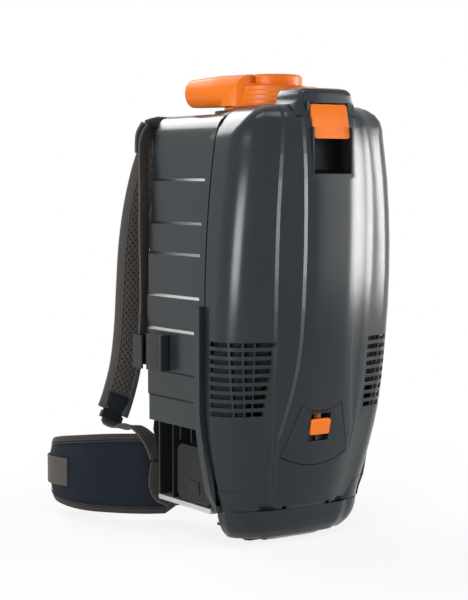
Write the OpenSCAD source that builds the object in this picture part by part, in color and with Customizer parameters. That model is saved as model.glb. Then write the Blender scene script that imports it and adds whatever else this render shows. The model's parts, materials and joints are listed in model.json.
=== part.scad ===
// Battery backpack vacuum cleaner with a top hose swivel.
// X runs to the right seen from the front cover, Y points to the wearer, Z is up.
// The origin is on the floor under the middle of the machine.

/* [Body] */
// Width of the body at its widest
body_w = 260; // [217:1:312]
// Height from the floor to the top of the latch hump
body_h = 571; // [476:1:685]
// Depth of the front cover, from its seam to its fullest point
cover_depth = 89; // [75:1:107]
// Depth of the rear tub, from the seam to its back wall
tub_depth = 148; // [124:1:177]
// Wall of the moulded shells
wall = 3; // [2.5:0.1:3.6]
// Gap that lets one body move past another
run_gap = 0.4; // [0.3:0.05:0.6]

/* [Front cover] */
// Height of the bumper's top, where the cover starts
bumper_h = 43; // [38:1:50]
// Radius of the cover's upright corners
corner_r = 44; // [36:1:52]
// Height of each crease step on the front face
crease_step = 2.2; // [1:0.1:3]
// Half width of the slope of a crease step
crease_w = 1.6; // [1:0.1:2.5]
// Half width of the latch hump
hump_w = 41.5; // [36:0.5:46]
// Height of one exhaust slot
slot_h = 6; // [4:0.2:7]
// Number of exhaust slots one above another
slot_rows = 9; // [6:1:9]
// Distance from one exhaust slot to the next
slot_pitch = 10.8; // [9:0.1:11]
// Height of the lowest exhaust slot's middle
slot_z = 172; // [165:1:180]

/* [Cover latch] */
// Width of the latch flap
flap_w = 54.6; // [48:0.2:58]
// Height of the latch flap
flap_h = 42; // [36:0.5:46]
// Thickness of the latch flap
flap_t = 4; // [3:0.1:5]
// Height of the hand recess below the flap
recess_h = 43; // [34:0.5:46]
// Depth of the hand recess
recess_depth = 30; // [24:0.5:34]
// Radius of the latch pin
latch_pin_r = 1.5; // [1.2:0.05:1.8]

/* [Filter door] */
// Half width of the door at its foot
door_foot_w = 51.4; // [44:0.2:56]
// Half width of the door at its top
door_top_w = 30.2; // [26:0.2:36]
// Height of the door's foot corners above the floor
door_foot_z = 116; // [112:0.5:120]
// Height of the door's top corners above the floor
door_top_z = 180; // [172:0.5:186]
// Gap round the door
door_gap = 0.9; // [0.6:0.1:1.4]
// Width of the door latch
door_latch_w = 29; // [24:0.5:32]
// Height of the door latch
door_latch_h = 20; // [16:0.5:22]
// Travel of the door latch
door_latch_travel = 7; // [5:0.5:8]

/* [Hose swivel] */
// Distance from the seam back to the swivel's axis
swivel_back = 40; // [36:1:46]
// Radius of the turntable's foot
turn_r = 62; // [54:0.5:63]
// Radius of the drum on the turntable
drum_r = 37; // [33:0.5:40]
// Height of the turntable
turn_h = 45; // [40:0.5:50]
// Distance from the swivel's axis out to the elbow's upright pipe
elbow_out = 51; // [46:1:53]
// Length of the hose tube from the upright pipe to its mouth
tube_len = 73; // [66:1:84]
// Outer radius of the elbow
tube_root_r = 21.5; // [20:0.1:22]
// Outer radius of the hose tube at its mouth
tube_mouth_r = 18; // [17.6:0.1:19]
// Radius of the socket that takes the hose
hose_r = 16; // [15:0.1:16.4]
// Length of that socket
hose_socket = 40; // [30:1:50]
// Angle of the hose tube from straight back, towards the left
tube_turn = 17; // [0:1:30]
// Angle of the upright pipe from straight left, towards the back
pipe_turn = 7; // [0:1:20]

/* [Tub and bay] */
// Height of the underside of the tub
tub_z = 146; // [138:1:150]
// Height of the dust chamber's floor
chamber_z = 282; // [276:1:290]
// How far each wall band stands out from the band above it
band_step = 3.6; // [2:0.1:4.4]
// Height of the aluminium base plate's underside
base_z = 40; // [38:0.5:42]
// Thickness of the base plate sheet
sheet_t = 2.5; // [2:0.1:3]
// Battery's length across the body
pack_l = 158; // [130:1:180]
// Battery's depth
pack_d = 80; // [70:1:84]
// Battery's height
pack_h = 72; // [64:1:74]

/* [Motor] */
// Radius of the motor's outer case
motor_r = 50; // [44:0.5:54]
// Height of the motor's outer case
motor_h = 96; // [86:1:102]
// Radius of the motor shaft
shaft_r = 4; // [3.5:0.1:5]
// Radius of the impeller
fan_r = 42; // [38:0.5:45]
// Number of impeller blades
fan_blades = 9; // [7:1:11]

/* [Harness] */
// Distance from the tub's back wall to the harness frame
frame_gap = 34; // [28:1:40]
// Thickness of the harness frame
frame_t = 4; // [3:0.1:5]
// Width of a shoulder strap
strap_w = 64; // [54:1:70]
// Thickness of a shoulder strap
strap_t = 13; // [10:0.5:16]
// Width of the webbing
web_w = 25; // [20:1:30]
// Thickness of the webbing
web_t = 2.2; // [1.8:0.1:2.6]
// Height of the hip belt's wings
belt_h = 110; // [96:1:120]
// Thickness of the hip belt's wings
belt_t = 15; // [12:0.5:18]
// Half width of the hip belt loop
belt_reach = 182; // [170:1:200]
// Depth of the hip belt loop behind the tub
belt_depth = 195; // [180:1:215]

/* [Hidden] */
$fn = 48;
plastic = "#3b4247";
dark = "#1d2023";
orange = "#ee7a1e";

hw = body_w / 2;
seam_y = -130;
front_y = seam_y - cover_depth;
back_y = seam_y + tub_depth;
cover_top = body_h - 20;
tub_top = cover_top - 10;
belly_z = cover_z(387);
rim_depth = 12;
rim_y = seam_y + 2.7;
shell_gap = 0.3;

// A height on the cover, given as it stands on a body 571 high
function cover_z(up) = bumper_h + up * (cover_top - bumper_h) / 508;
function unit(v) = v / norm(v);
function clamp01(v) = max(0, min(1, v));
function ease(v) = let (t = clamp01(v)) t * t * (3 - 2 * t);
function signed_pow(v, e) = sign(v) * pow(abs(v), e);
// How far a round edge of radius r has drawn in, a distance t past its start
function drawn_in(r, t) = t <= 0 ? 0 : r - sqrt(max(0, r * r - pow(min(t, r), 2)));
function rev(list) = [for (i = [len(list) - 1:-1:0]) list[i]];
function flip_x(pts) = [for (p = pts) len(p) == 2 ? [-p[0], p[1]] : [-p[0], p[1], p[2]]];
function at_z(pts, z) = [for (p = pts) [p[0], p[1], z]];

// ---------- shared shapes ----------

module box(lo, hi) {
    translate(lo) cube([hi[0] - lo[0], hi[1] - lo[1], hi[2] - lo[2]]);
}

module both_sides() {
    children();
    mirror([1, 0, 0]) children();
}

// Points of a rectangle with round corners
function round_rect(w, h, r, n = 6) = [for (q = [0:3], i = [0:n])
    let (a = q * 90 + i * 90 / n, sx = (q == 0 || q == 3) ? 1 : -1, sy = q < 2 ? 1 : -1)
    [sx * (w / 2 - r) + r * cos(a), sy * (h / 2 - r) + r * sin(a)]];

// Upright block with round corners in plan
module round_block(lo, hi, r) {
    translate([(lo[0] + hi[0]) / 2, (lo[1] + hi[1]) / 2, lo[2]])
        linear_extrude(hi[2] - lo[2])
            polygon(round_rect(hi[0] - lo[0], hi[1] - lo[1], r));
}

// Outline drawn in X and Z, pushed from y0 to y1
module push_y(y0, y1) {
    translate([0, y1, 0]) rotate([90, 0, 0]) linear_extrude(y1 - y0) children();
}

// Outline drawn in Y and Z, pushed from x0 to x1
module push_x(x0, x1) {
    translate([x0, 0, 0]) rotate([90, 0, 90]) linear_extrude(x1 - x0) children();
}

module rod_x(x0, x1, y, z, r) {
    translate([x0, y, z]) rotate([0, 90, 0]) cylinder(h = x1 - x0, r = r);
}

module rod_y(y0, y1, x, z, r) {
    translate([x, y1, z]) rotate([90, 0, 0]) cylinder(h = y1 - y0, r = r);
}

module rod_z(z0, z1, x, y, r) {
    translate([x, y, z0]) cylinder(h = z1 - z0, r = r);
}

// Closed skin over rings of equal length, each counter-clockwise seen from past the last.
// Rings that match left and right but have steps in them get ends made of strips.
module skin(rings, stepped = false) {
    n = len(rings[0]);
    last = (len(rings) - 1) * n;
    strips = [for (i = [0:floor((n - 3) / 2)]) let (j = n - 1 - i)
        i + 1 == j - 1 ? [i, i + 1, j] : [i, i + 1, j - 1, j]];
    ends = stepped ? strips : [[for (i = [0:n - 1]) i]];
    polyhedron(points = [for (r = rings) each r], faces = concat(
        ends,
        [for (k = [0:len(rings) - 2], i = [0:n - 1])
            let (a = k * n + i, b = k * n + (i + 1) % n)
            each [[a, a + n, b + n], [a, b + n, b]]],
        [for (e = ends) [for (i = rev(e)) last + i]]), convexity = 8);
}

// ---------- the cover's form ----------

top_tuck = 22;
foot_tuck = 21.7;
foot_tuck_z = bumper_h + 127;
top_corner_r = 45;
foot_corner_r = 35;
foot_corner_z = bumper_h - 5;
foot_rake = 55;
top_rake = 12;
front_crown = 0.0018;
shoulder_r = 22;

// Half width of the seam outline at a height
function cover_half_w(z) = hw
    - top_tuck * pow(clamp01((z - cover_z(257)) / (cover_top - cover_z(257))), 2)
    - foot_tuck * pow(clamp01((foot_tuck_z - z) / (foot_tuck_z - bumper_h)), 1.3)
    - drawn_in(top_corner_r, z - (cover_top - top_corner_r))
    - drawn_in(foot_corner_r, foot_corner_z + foot_corner_r - z);

// Foremost line of the front face at a height
function face_line(z) = front_y + (z < belly_z
    ? foot_rake * pow(clamp01((belly_z - z) / (belly_z - bumper_h)), 2.2)
    : top_rake * pow(clamp01((z - belly_z) / (cover_top - belly_z)), 2.5));

inner_crease = 39.5;
outer_crease = 75;
function inner_crease_x(z) = min(outer_crease_x(z),
    inner_crease + 20 * pow(max(0, (cover_z(217) - z) / 130), 1.6));
function outer_crease_x(z) = z > cover_z(327)
    ? outer_crease - 10 * pow((z - cover_z(327)) / 150, 2)
    : outer_crease - 20 * pow((cover_z(327) - z) / 304, 2);

// The face at a point, with the two creases stepping back towards the sides
function face_y(x, z) = face_line(z) + front_crown * x * x
    + crease_step * (ease((abs(x) - inner_crease_x(z) + crease_w) / (2 * crease_w))
        + ease((abs(x) - outer_crease_x(z) + crease_w) / (2 * crease_w)));

// Right half of a level cut through the cover, from the middle to the seam, a depth t inside
function cover_half(z, t, back) = let (
    w = cover_half_w(z) - t,
    r = max(6, min(corner_r - 30 * ease((z - cover_top + 50) / 45), w * 0.45) - t),
    fy = face_line(z) + t + drawn_in(shoulder_r, z - (cover_top - shoulder_r))
        + max(0, bumper_h + 3 - z),
    turn = atan(2 * front_crown * (w - r)),
    xs = w - r * (1 - sin(turn)),
    xo = min(outer_crease_x(z), xs - 2 * crease_w),
    xi = min(inner_crease_x(z), xo - 3 * crease_w),
    ys = fy + front_crown * xs * xs + 2 * crease_step,
    yc = ys + r * cos(turn),
    end = yc > seam_y ? acos(min(1, (yc - seam_y) / r)) : 90)
    concat(
        [for (x = [0, xi / 2]) [x, fy + front_crown * x * x]],
        [for (s = [[xi - crease_w, 0], [xi + crease_w, 1], [(xi + xo) / 2, 1],
                [xo - crease_w, 1], [xo + crease_w, 2]])
            [s[0], fy + front_crown * s[0] * s[0] + s[1] * crease_step]],
        [for (i = [0:5]) let (a = turn + (end - turn) * i / 5)
            [w - r + r * sin(a), yc - r * cos(a)]],
        [[w - r + r * sin(end), back]]);

function cover_ring(z, t, back) = let (half = cover_half(z, t, back))
    at_z(concat(rev([for (i = [1:len(half) - 1]) [-half[i][0], half[i][1]]]), half), z);

cover_levels = [0, 3, 9, 17, 29, 47, 72, 97, 127, 157, 187, 222, 257, 297, 337, 377, 417, 447,
    467, 479, 489, 497, 503, 506.5, 508];
inner_levels = [0, 9, 29, 60, 97, 142, 187, 257, 337, 417, 457, 479, 493, 503, 508];

module cover_outer() {
    skin([for (up = cover_levels) cover_ring(cover_z(up), 0, seam_y)], stepped = true);
}

module cover_inner() {
    squeeze = (cover_top - bumper_h - 2 * wall) / (cover_top - bumper_h);
    skin([for (up = inner_levels)
        cover_ring(bumper_h + wall + (cover_z(up) - bumper_h) * squeeze, wall, seam_y + 8)],
        stepped = true);
}

// The seam outline in X and Z between two heights, moved out by a distance
function seam_side(z0, z1, out, n) = [for (i = [0:n])
    let (z = z0 + (z1 - z0) * i / n) [cover_half_w(z) + out, z]];
function seam_outline(z0, z1, out, n = 26) = let (right = seam_side(z0, z1, out, n))
    concat(right, rev(flip_x(right)));

// ---------- latch hump ----------

hump_back = seam_y - 26;
hump_edge_r = 13;
function hump_half_w(z) = hump_w + 6 * pow(clamp01((cover_top + 8 - z) / 10), 2)
    - drawn_in(hump_edge_r, z - (body_h - hump_edge_r));

function hump_ring(z, t) = let (
    w = hump_half_w(z) - t,
    fy = face_line(min(z, cover_top)) + t + drawn_in(8, z - (body_h - 8)),
    r = 7 - t / 2)
    at_z(concat([[-w, hump_back - t]],
        [for (i = [0:3]) [-w + r - r * cos(i * 30), fy + front_crown * w * w + r - r * sin(i * 30)]],
        [[0, fy]],
        [for (i = [3:-1:0]) [w - r + r * cos(i * 30), fy + front_crown * w * w + r - r * sin(i * 30)]],
        [[w, hump_back - t]]), z);

module hump_outer() {
    skin([for (up = [34, 20, 16, 13, 10, 7, 4, 1.5, 0]) hump_ring(body_h - up, 0)]);
}

module hump_inner() {
    skin([for (up = [60, 20, 13, 8, 5, 3.2]) hump_ring(body_h - up, wall)]);
}

// ---------- front cover ----------

flap_top = cover_top;
flap_foot = flap_top - flap_h;
recess_foot = flap_foot - recess_h;
latch_y = face_line(flap_top) + 3.6;
latch_z = flap_top - 2.8;
recess_back = front_y + 4 + recess_depth;
window_w = flap_w + 2.6;

cover_pivot_y = face_line(bumper_h) + 4;
cover_pivot_z = bumper_h + 9;
hinge_x = 20;
hinge_pin_r = 1.6;
hinge_len = 20;
knuckle_r = 3.4;
lug_w = 5;

swivel_y = seam_y + swivel_back;

module grille_slots() {
    corner = [hw - corner_r - 1, seam_y - 27];
    gaps = [[-25, 17], [20.5, 43], [47, 68], [71.5, 108]];
    both_sides() for (row = [0:slot_rows - 1], g = gaps)
        translate([corner[0], corner[1], slot_z + row * slot_pitch - slot_h / 2])
            linear_extrude(slot_h)
                polygon([[14 * cos(g[0]), -14 * sin(g[0])], [72 * cos(g[0]), -72 * sin(g[0])],
                    [72 * cos(g[1]), -72 * sin(g[1])], [14 * cos(g[1]), -14 * sin(g[1])]]);
}

// Outline of the filter door in X and Z: curved foot, leaning sides, hollow top
door_bow = 14;
door_dip = 9;
function door_outline(out) = concat(
    [for (i = [-4:4]) let (u = i / 4)
        [u * (door_foot_w + out), door_foot_z - out - door_bow * (1 - u * u)]],
    [for (i = [4:-1:-4]) let (u = i / 4)
        [u * (door_top_w + out), door_top_z + out - door_dip * (1 - u * u)]]);

module hand_tray() {
    t = 2;
    difference() {
        box([-window_w / 2 - t, front_y + 2, recess_foot - t],
            [window_w / 2 + t, recess_back, flap_foot + 14]);
        push_x(-window_w / 2, window_w / 2)
            polygon([[front_y - 5, recess_foot], [recess_back - 14, recess_foot],
                [recess_back - 6, recess_foot + 5], [recess_back - t, recess_foot + 16],
                [recess_back - t, flap_foot + 20], [front_y - 5, flap_foot + 20]]);
    }
}

module latch_ears() {
    both_sides() difference() {
        box([window_w / 2 + 0.6, latch_y - 4, latch_z - 5],
            [window_w / 2 + 4.6, hump_back - 12, latch_z + 5]);
        rod_x(0, hw, latch_y, latch_z, latch_pin_r + 0.05);
    }
}

door_pivot_z = door_foot_z - door_bow - 8;
door_pivot_y = face_line(door_foot_z - door_bow) + 8.3;
door_ear_x = 19;

lug_places = [hinge_x - hinge_len / 2 - lug_w - 1, hinge_x + hinge_len / 2 + 1];

module front_cover() {
    color(plastic) {
        difference() {
            union() {
                difference() {
                    cover_outer();
                    cover_inner();
                }
                hump_outer();
            }
            difference() {
                hump_inner();
                box([-hw, hump_back - 20, cover_top - 60], [hw, 0, cover_top - 34]);
            }
            // round the turntable and over the catch
            difference() {
                rod_z(tub_top + 0.5, cover_top + 1, 0, swivel_y, plate_r + 1.5);
                box([-hump_w - 7, front_y, 0], [hump_w + 7, hump_back + 0.3, body_h]);
            }
            box([-11, hump_back - 30, tub_top], [11, hump_back + 10, tub_top + 22]);
            box([-window_w / 2 - 4.9, latch_y - 2.7, latch_z - 3.4],
                [window_w / 2 + 4.9, latch_y + 3, latch_z + 2.6]);
            // latch window and filter door opening
            box([-window_w / 2, front_y - 5, recess_foot], [window_w / 2, recess_back - 2, flap_top + 1.6]);
            push_y(front_y - 5, seam_y - 20) polygon(door_outline(door_gap));
            grille_slots();
            // slots for the bumper's hinge lugs
            both_sides() for (x = lug_places)
                box([x - 0.6, cover_pivot_y - 3.8, bumper_h - 1],
                    [x + lug_w + 0.6, cover_pivot_y + 16.5, cover_pivot_z + 5]);
        }
        hand_tray();
        latch_ears();
        both_sides() {
            // hinge knuckle inside the foot of the cover
            difference() {
                union() {
                    rod_x(hinge_x - hinge_len / 2, hinge_x + hinge_len / 2, cover_pivot_y,
                        cover_pivot_z, knuckle_r);
                    box([hinge_x - hinge_len / 2, cover_pivot_y - 5.2, cover_pivot_z - 1.5],
                        [hinge_x + hinge_len / 2, cover_pivot_y + 0.5, cover_pivot_z + 2]);
                }
                rod_x(0, hw, cover_pivot_y, cover_pivot_z, hinge_pin_r + 0.05);
            }
            // ears that hold the filter door's pivots
            difference() {
                box([door_ear_x, door_pivot_y - 4.2, door_pivot_z - 3.6],
                    [door_ear_x + 2.8, door_pivot_y + 3.4, door_pivot_z + 3.6]);
                rod_x(0, hw, door_pivot_y, door_pivot_z, 1.85);
            }
        }
    }
}

// Pins on which the cover turns, standing on the bumper's lugs
module cover_hinge_pins() {
    color("silver") both_sides()
        rod_x(lug_places[0], lug_places[1] + lug_w, cover_pivot_y, cover_pivot_z, hinge_pin_r);
}

// ---------- cover latch ----------

hook_y = hump_back - 14.2;
barrel_r = 2.8;

module cover_latch() {
    top_y = face_line(flap_top);
    mid_y = face_line(flap_top - flap_h / 2);
    foot_y = face_line(flap_foot);
    color(orange) difference() {
        union() {
            intersection() {
                push_x(-flap_w / 2, flap_w / 2)
                    polygon([[top_y + 1, flap_top], [top_y, flap_top - 1], [mid_y, flap_top - flap_h / 2],
                        [foot_y, flap_foot], [foot_y + flap_t, flap_foot],
                        [mid_y + flap_t, flap_top - flap_h / 2], [top_y + 6, flap_top - 6],
                        [top_y + 6, flap_top]]);
                push_y(front_y - 5, seam_y) translate([0, flap_top - flap_h / 2])
                    polygon(round_rect(flap_w, flap_h, 4));
            }
            rod_x(-flap_w / 2, flap_w / 2, latch_y, latch_z, barrel_r);
            // hook that the spring lifts behind the catch's lip
            box([-7, latch_y, latch_z - 4.6], [7, hook_y + 5, latch_z - 1.2]);
            box([-7, hook_y, latch_z - 4.6], [7, hook_y + 5, latch_z + 1.6]);
            // stiffening ribs behind the flap
            for (x = [-18, 18])
                push_x(x - 1, x + 1)
                    polygon([[foot_y + flap_t - 1, flap_foot + 5], [top_y + 11, flap_top - 9],
                        [top_y + 4, flap_top - 6], [mid_y + flap_t - 1, flap_top - flap_h / 2]]);
        }
        rod_x(-hw, hw, latch_y, latch_z, latch_pin_r + 0.08);
        both_sides() box([9, latch_y - 3.2, latch_z - 3.2], [15, latch_y + 6, latch_z + 3.2]);
    }
}

module latch_pin() {
    color("silver") rod_x(-window_w / 2 - 4, window_w / 2 + 4, latch_y, latch_z, latch_pin_r);
}

// Pair of torsion springs round the pin, in the flap's two notches
module latch_spring() {
    color("silver") both_sides() translate([9.4, latch_y, latch_z]) rotate([0, 90, 0])
        difference() {
            cylinder(h = 5.2, r = 2.9);
            translate([0, 0, -1]) cylinder(h = 8, r = latch_pin_r + 0.35);
        }
}

// Catch that stands on the swivel base and holds the hook
module latch_catch() {
    z0 = tub_top + 5;
    top_z = latch_z + 13;
    lip_y = hook_y - 0.8;
    color(plastic) {
        box([-9, hump_back - 4, z0], [9, hump_back, top_z]);
        box([-9, lip_y - 2.6, top_z - 3], [9, hump_back, top_z]);
        box([-9, lip_y - 2.6, latch_z + 2.4], [9, lip_y, top_z]);
        both_sides() push_x(6, 9)
            polygon([[hump_back - 4, top_z - 3], [hump_back - 4, top_z - 11], [lip_y, top_z - 3]]);
    }
}

// ---------- exhaust foam behind the grilles ----------

module exhaust_foams() {
    z0 = slot_z - slot_pitch * 0.7;
    z1 = slot_z + slot_pitch * (slot_rows - 0.3);
    function edge(z, t) = [for (p = cover_half(z, t, seam_y - 4)) if (p[0] > outer_crease - 4) p];
    color("#222222") both_sides()
        skin([for (i = [0:4]) let (z = z0 + (z1 - z0) * i / 4)
            at_z(concat(edge(z, wall + 2.2), rev(edge(z, wall + 7.2))), z)]);
}

// ---------- filter door ----------

pocket_w = door_latch_w + 1.6;
pocket_top = door_top_z - door_dip - 2.5;
latch_top = pocket_top - 7;
latch_foot = latch_top - door_latch_h;
pocket_foot = latch_foot - door_latch_travel - 1.4;
door_y = face_line((door_foot_z + door_top_z) / 2);
neck_x = [door_ear_x - 4.4, door_ear_x - 1];
neck_r = norm([8, door_foot_z - door_pivot_z
    - door_bow * (1 - pow(neck_x[1] / door_foot_w, 2))]) + 0.2;
pocket_back = door_y + 12;

module door_blank() {
    intersection() {
        difference() {
            cover_outer();
            cover_inner();
        }
        push_y(front_y - 5, seam_y - 20) polygon(door_outline(0));
    }
}

// what the edge of the cover below the door sweeps, seen from the turning door
module foot_sweep() {
    translate([0, door_pivot_y, door_pivot_z]) rotate([0, 90, 0]) rotate_extrude()
        polygon(concat([[0, -door_foot_w - 1]],
            [for (i = [-4:4]) let (
                x = (door_foot_w + 1) * i / 4,
                z = door_foot_z - door_bow * (1 - i * i / 16))
                [norm([face_y(x, z) - door_pivot_y, z - door_gap - door_pivot_z]) + 0.3, x]],
            [[0, door_foot_w + 1]]));
}

module filter_door() {
    color(plastic) {
        difference() {
            union() {
                difference() {
                    door_blank();
                    foot_sweep();
                }
                intersection() {
                    box([-pocket_w / 2 - 2, face_line(pocket_foot) - 30, pocket_foot - 2],
                        [pocket_w / 2 + 2, pocket_back, pocket_top + 2]);
                    translate([0, 0.2, 0]) cover_outer();
                }
            }
            box([-pocket_w / 2, front_y - 5, pocket_foot], [pocket_w / 2, pocket_back - 2, pocket_top]);
            // slot for the latch's tongue
            box([-7, pocket_back - 7.6, pocket_top - 1], [7, pocket_back - 3.6, pocket_top + 8]);
        }
        // pivots on goosenecks that pass round the cover's edge
        both_sides() {
            rod_x(neck_x[0], door_ear_x + 3.4, door_pivot_y, door_pivot_z, 1.75);
            box([neck_x[0], door_pivot_y, door_pivot_z - 1.6],
                [neck_x[1], door_pivot_y + 12, door_pivot_z + 1.6]);
            box([neck_x[0], door_pivot_y + 9, door_pivot_z - 1.6],
                [neck_x[1], door_pivot_y + 12, door_pivot_z + neck_r + 2.9]);
            box([neck_x[0], door_pivot_y - 8, door_pivot_z + neck_r],
                [neck_x[1], door_pivot_y + 12, door_pivot_z + neck_r + 2.9]);
        }
    }
}

// Sliding latch: push it down and its tongue leaves the cover's edge
module door_latch() {
    y1 = face_line(latch_top) - 1.2;
    y0 = face_line(latch_foot) - 1.2;
    color(orange) {
        intersection() {
            push_x(-door_latch_w / 2, door_latch_w / 2)
                polygon([[y1 + 2, latch_top], [y1, latch_top - 3], [y0, latch_foot],
                    [y0 + 5, latch_foot], [y1 + 5, latch_top]]);
            push_y(front_y - 5, seam_y) translate([0, (latch_top + latch_foot) / 2])
                polygon(round_rect(door_latch_w, door_latch_h, 2.5));
        }
        box([-5.5, y1 + 3, latch_top - 10], [5.5, pocket_back - 4, latch_top - 7]);
        box([-5.5, pocket_back - 7, latch_top - 10], [5.5, pocket_back - 4, pocket_top + 7.5]);
    }
}

module door_latch_spring() {
    z0 = pocket_foot + 0.2;
    z1 = latch_top - 10.3;
    color("silver") translate([0, pocket_back - 4.4, z0]) difference() {
        cylinder(h = z1 - z0, r = 2);
        translate([0, 0, -1]) cylinder(h = z1 - z0 + 2, r = 1.2);
    }
}

// ---------- exhaust filter ----------

filter_w = 2 * door_top_w + 18;
filter_z0 = door_foot_z - 1.5;
filter_z1 = door_top_z - 6;
filter_y0 = door_y + 18;
filter_y1 = filter_y0 + 22;
pleats = 16;

module exhaust_filter() {
    w = filter_w - 8;
    // the folded paper, one zigzag line there and one back
    function fold(i, side) = [-w / 2 + w * i / (2 * pleats),
        (i % 2 == 0 ? filter_y0 + 3 : filter_y1 - 4) + side];
    color("#e8e6df") translate([0, 0, filter_z0 + 4]) linear_extrude(filter_z1 - filter_z0 - 8)
        polygon(concat([for (i = [0:2 * pleats]) fold(i, 0)],
            [for (i = [2 * pleats:-1:0]) fold(i, 1.2)]));
}

module exhaust_filter_frame() {
    color(dark) {
        difference() {
            box([-filter_w / 2, filter_y0, filter_z0], [filter_w / 2, filter_y1, filter_z1]);
            box([-filter_w / 2 + 3.7, filter_y0 - 1, filter_z0 + 3.7],
                [filter_w / 2 - 3.7, filter_y1 + 1, filter_z1 - 3.7]);
        }
        // duct that seats the filter on the chassis front wall
        difference() {
            box([-filter_w / 2, filter_y1, filter_z0], [filter_w / 2, bay_front - 0.3, filter_z1]);
            box([-filter_w / 2 + 6, filter_y1 - 1, filter_z0 + 6],
                [filter_w / 2 - 6, bay_front + 1, filter_z1 - 6]);
            box([-hw, rim_y - 0.4, bay_top - 0.3], [hw, 0, body_h]);
        }
    }
}

// ---------- hose swivel ----------

plate_t = 5;
plate_r = turn_r + 13;
turn_z = tub_top + plate_t + 1.2;
tube_z = turn_z + 22.5;
spigot_r = 24;

module swivel_base() {
    color(dark) difference() {
        union() {
            intersection() {
                rod_z(tub_top, tub_top + plate_t, 0, swivel_y, plate_r);
                box([-hw, hump_back + 0.5, 0], [hw, back_y, body_h]);
            }
            // tab under the latch catch
            box([-10, hump_back - 5, tub_top + 0.4], [10, hump_back + 4, tub_top + plate_t]);
        }
        rod_z(tub_top - 1, tub_top + 20, 0, swivel_y, spigot_r + 0.1);
    }
}

module swivel_seal() {
    color("#111111") difference() {
        rod_z(tub_top + plate_t, turn_z - 0.3, 0, swivel_y, turn_r - 12);
        rod_z(tub_top, turn_z + 1, 0, swivel_y, turn_r - 16);
    }
}

// Turntable with stepped skirt and drum; the mitred elbow stands on its rim
tiers = 5;
tier_h = 6;
tier_step = 1.4;

module elbow_pipe() {
    reach = tube_root_r + 2;
    // upright pipe below the mitre, level tube above it
    difference() {
        cylinder(h = tube_z - turn_z + reach, r = tube_root_r);
        translate([0, 0, tube_z - turn_z]) rotate([0, 45, 0])
            translate([-100, -50, 0]) cube([200, 100, 100]);
    }
    difference() {
        translate([-reach, 0, tube_z - turn_z]) rotate([0, 90, 0]) {
            cylinder(h = 2 * reach, r = tube_root_r);
            translate([0, 0, 2 * reach])
                cylinder(h = tube_len - reach, r1 = tube_root_r, r2 = tube_mouth_r);
        }
        translate([0, 0, tube_z - turn_z]) rotate([0, 45, 0])
            translate([-100, -50, -100]) cube([200, 100, 100]);
    }
}

module hose_swivel() {
    skirt = concat([[0, 0], [turn_r - 2, 0]],
        [for (i = [0:tiers - 1]) each [[turn_r - i * tier_step, i * tier_h + 1],
            [turn_r - i * tier_step, (i + 1) * tier_h - 0.8]]],
        [[drum_r + 1.5, tiers * tier_h], [drum_r, tiers * tier_h + 1.5], [drum_r, turn_h - 3],
            [drum_r - 3, turn_h], [drum_r - 9, turn_h], [drum_r - 12, turn_h - 4], [0, turn_h - 4]]);
    arm_turn = 180 - pipe_turn;
    air_z = 19;
    color(orange) translate([0, swivel_y, turn_z]) difference() {
        union() {
            rotate_extrude($fn = 72) polygon(skirt);
            translate([0, 0, tub_top - 5 - turn_z]) cylinder(h = 8 + plate_t, r = spigot_r);
            // shoulder between the drum and the upright pipe
            rotate([0, 0, arm_turn]) linear_extrude(tiers * tier_h + 3)
                polygon([[0, -drum_r + 5], [elbow_out, -tube_root_r + 1], [elbow_out, tube_root_r - 1],
                    [0, drum_r - 5]]);
            rotate([0, 0, arm_turn]) translate([elbow_out, 0, 0])
                rotate([0, 0, 90 + tube_turn - arm_turn]) elbow_pipe();
        }
        // flat under the tube, clear of the cover's top edge at every angle
        difference() {
            translate([0, 0, -2]) cylinder(h = cover_top + 2.3 - turn_z, r = 150);
            translate([0, 0, -3]) cylinder(h = cover_top + 5 - turn_z, r = turn_r + 1);
        }
        // air way: up through the foot, across, up the pipe and out along the tube
        translate([0, 0, -20]) cylinder(h = air_z + 31, r = spigot_r - 2.5);
        rotate([0, 0, arm_turn]) {
            translate([0, 0, air_z]) rotate([0, 90, 0]) cylinder(h = elbow_out, r = hose_r - 2);
            translate([elbow_out, 0, 3]) cylinder(h = tube_z - turn_z - 3, r = hose_r);
            translate([elbow_out, 0, tube_z - turn_z]) rotate([0, 0, 90 + tube_turn - arm_turn])
                rotate([0, 90, 0]) {
                    cylinder(h = tube_len + 1, r = hose_r - 1.5);
                    translate([0, 0, tube_len - hose_socket]) cylinder(h = hose_socket + 1, r = hose_r);
                }
        }
    }
}

collar_z = tub_top - 35;

module inlet_spigot() {
    color(dark) difference() {
        union() {
            rod_z(collar_z + 2, tub_top - wall - 0.2, 0, swivel_y, spigot_r);
            rod_z(tub_top - wall - 4, tub_top - wall - 0.2, 0, swivel_y, spigot_r + 8);
        }
        rod_z(collar_z, tub_top, 0, swivel_y, spigot_r - 2.5);
        rod_z(tub_top - 5.4, tub_top, 0, swivel_y, spigot_r + 0.4);
    }
}

// ---------- rear tub ----------

band_share = [0, 0.086, 0.172, 0.309, 0.418, 0.554, 0.653, 0.792, 0.896, 1];
function band_z(i) = tub_z + band_share[i] * (tub_top - tub_z);
function band_w(i) = hw + (i == 0 ? -4.5 : i == 1 ? -1 : i == 2 ? 2 : i == 3 ? -0.5
    : -band_step * (i - 3));
tub_shoulder = 26;

// Right side of the stepped outline, moved in by t
function tub_side(t) = concat(
    [for (i = [0:7]) each [[band_w(i) - t, band_z(i) + (i == 0 ? t : 1.6)],
        [band_w(i) - t, band_z(i + 1) - 1.6]]],
    [for (i = [0:6]) let (r = tub_shoulder - t, a = i * 15)
        [band_w(8) - tub_shoulder + r * cos(a), tub_top - tub_shoulder + r * sin(a)]]);

function tub_outline(t) = concat(tub_side(t), rev(flip_x(tub_side(t))));

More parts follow.
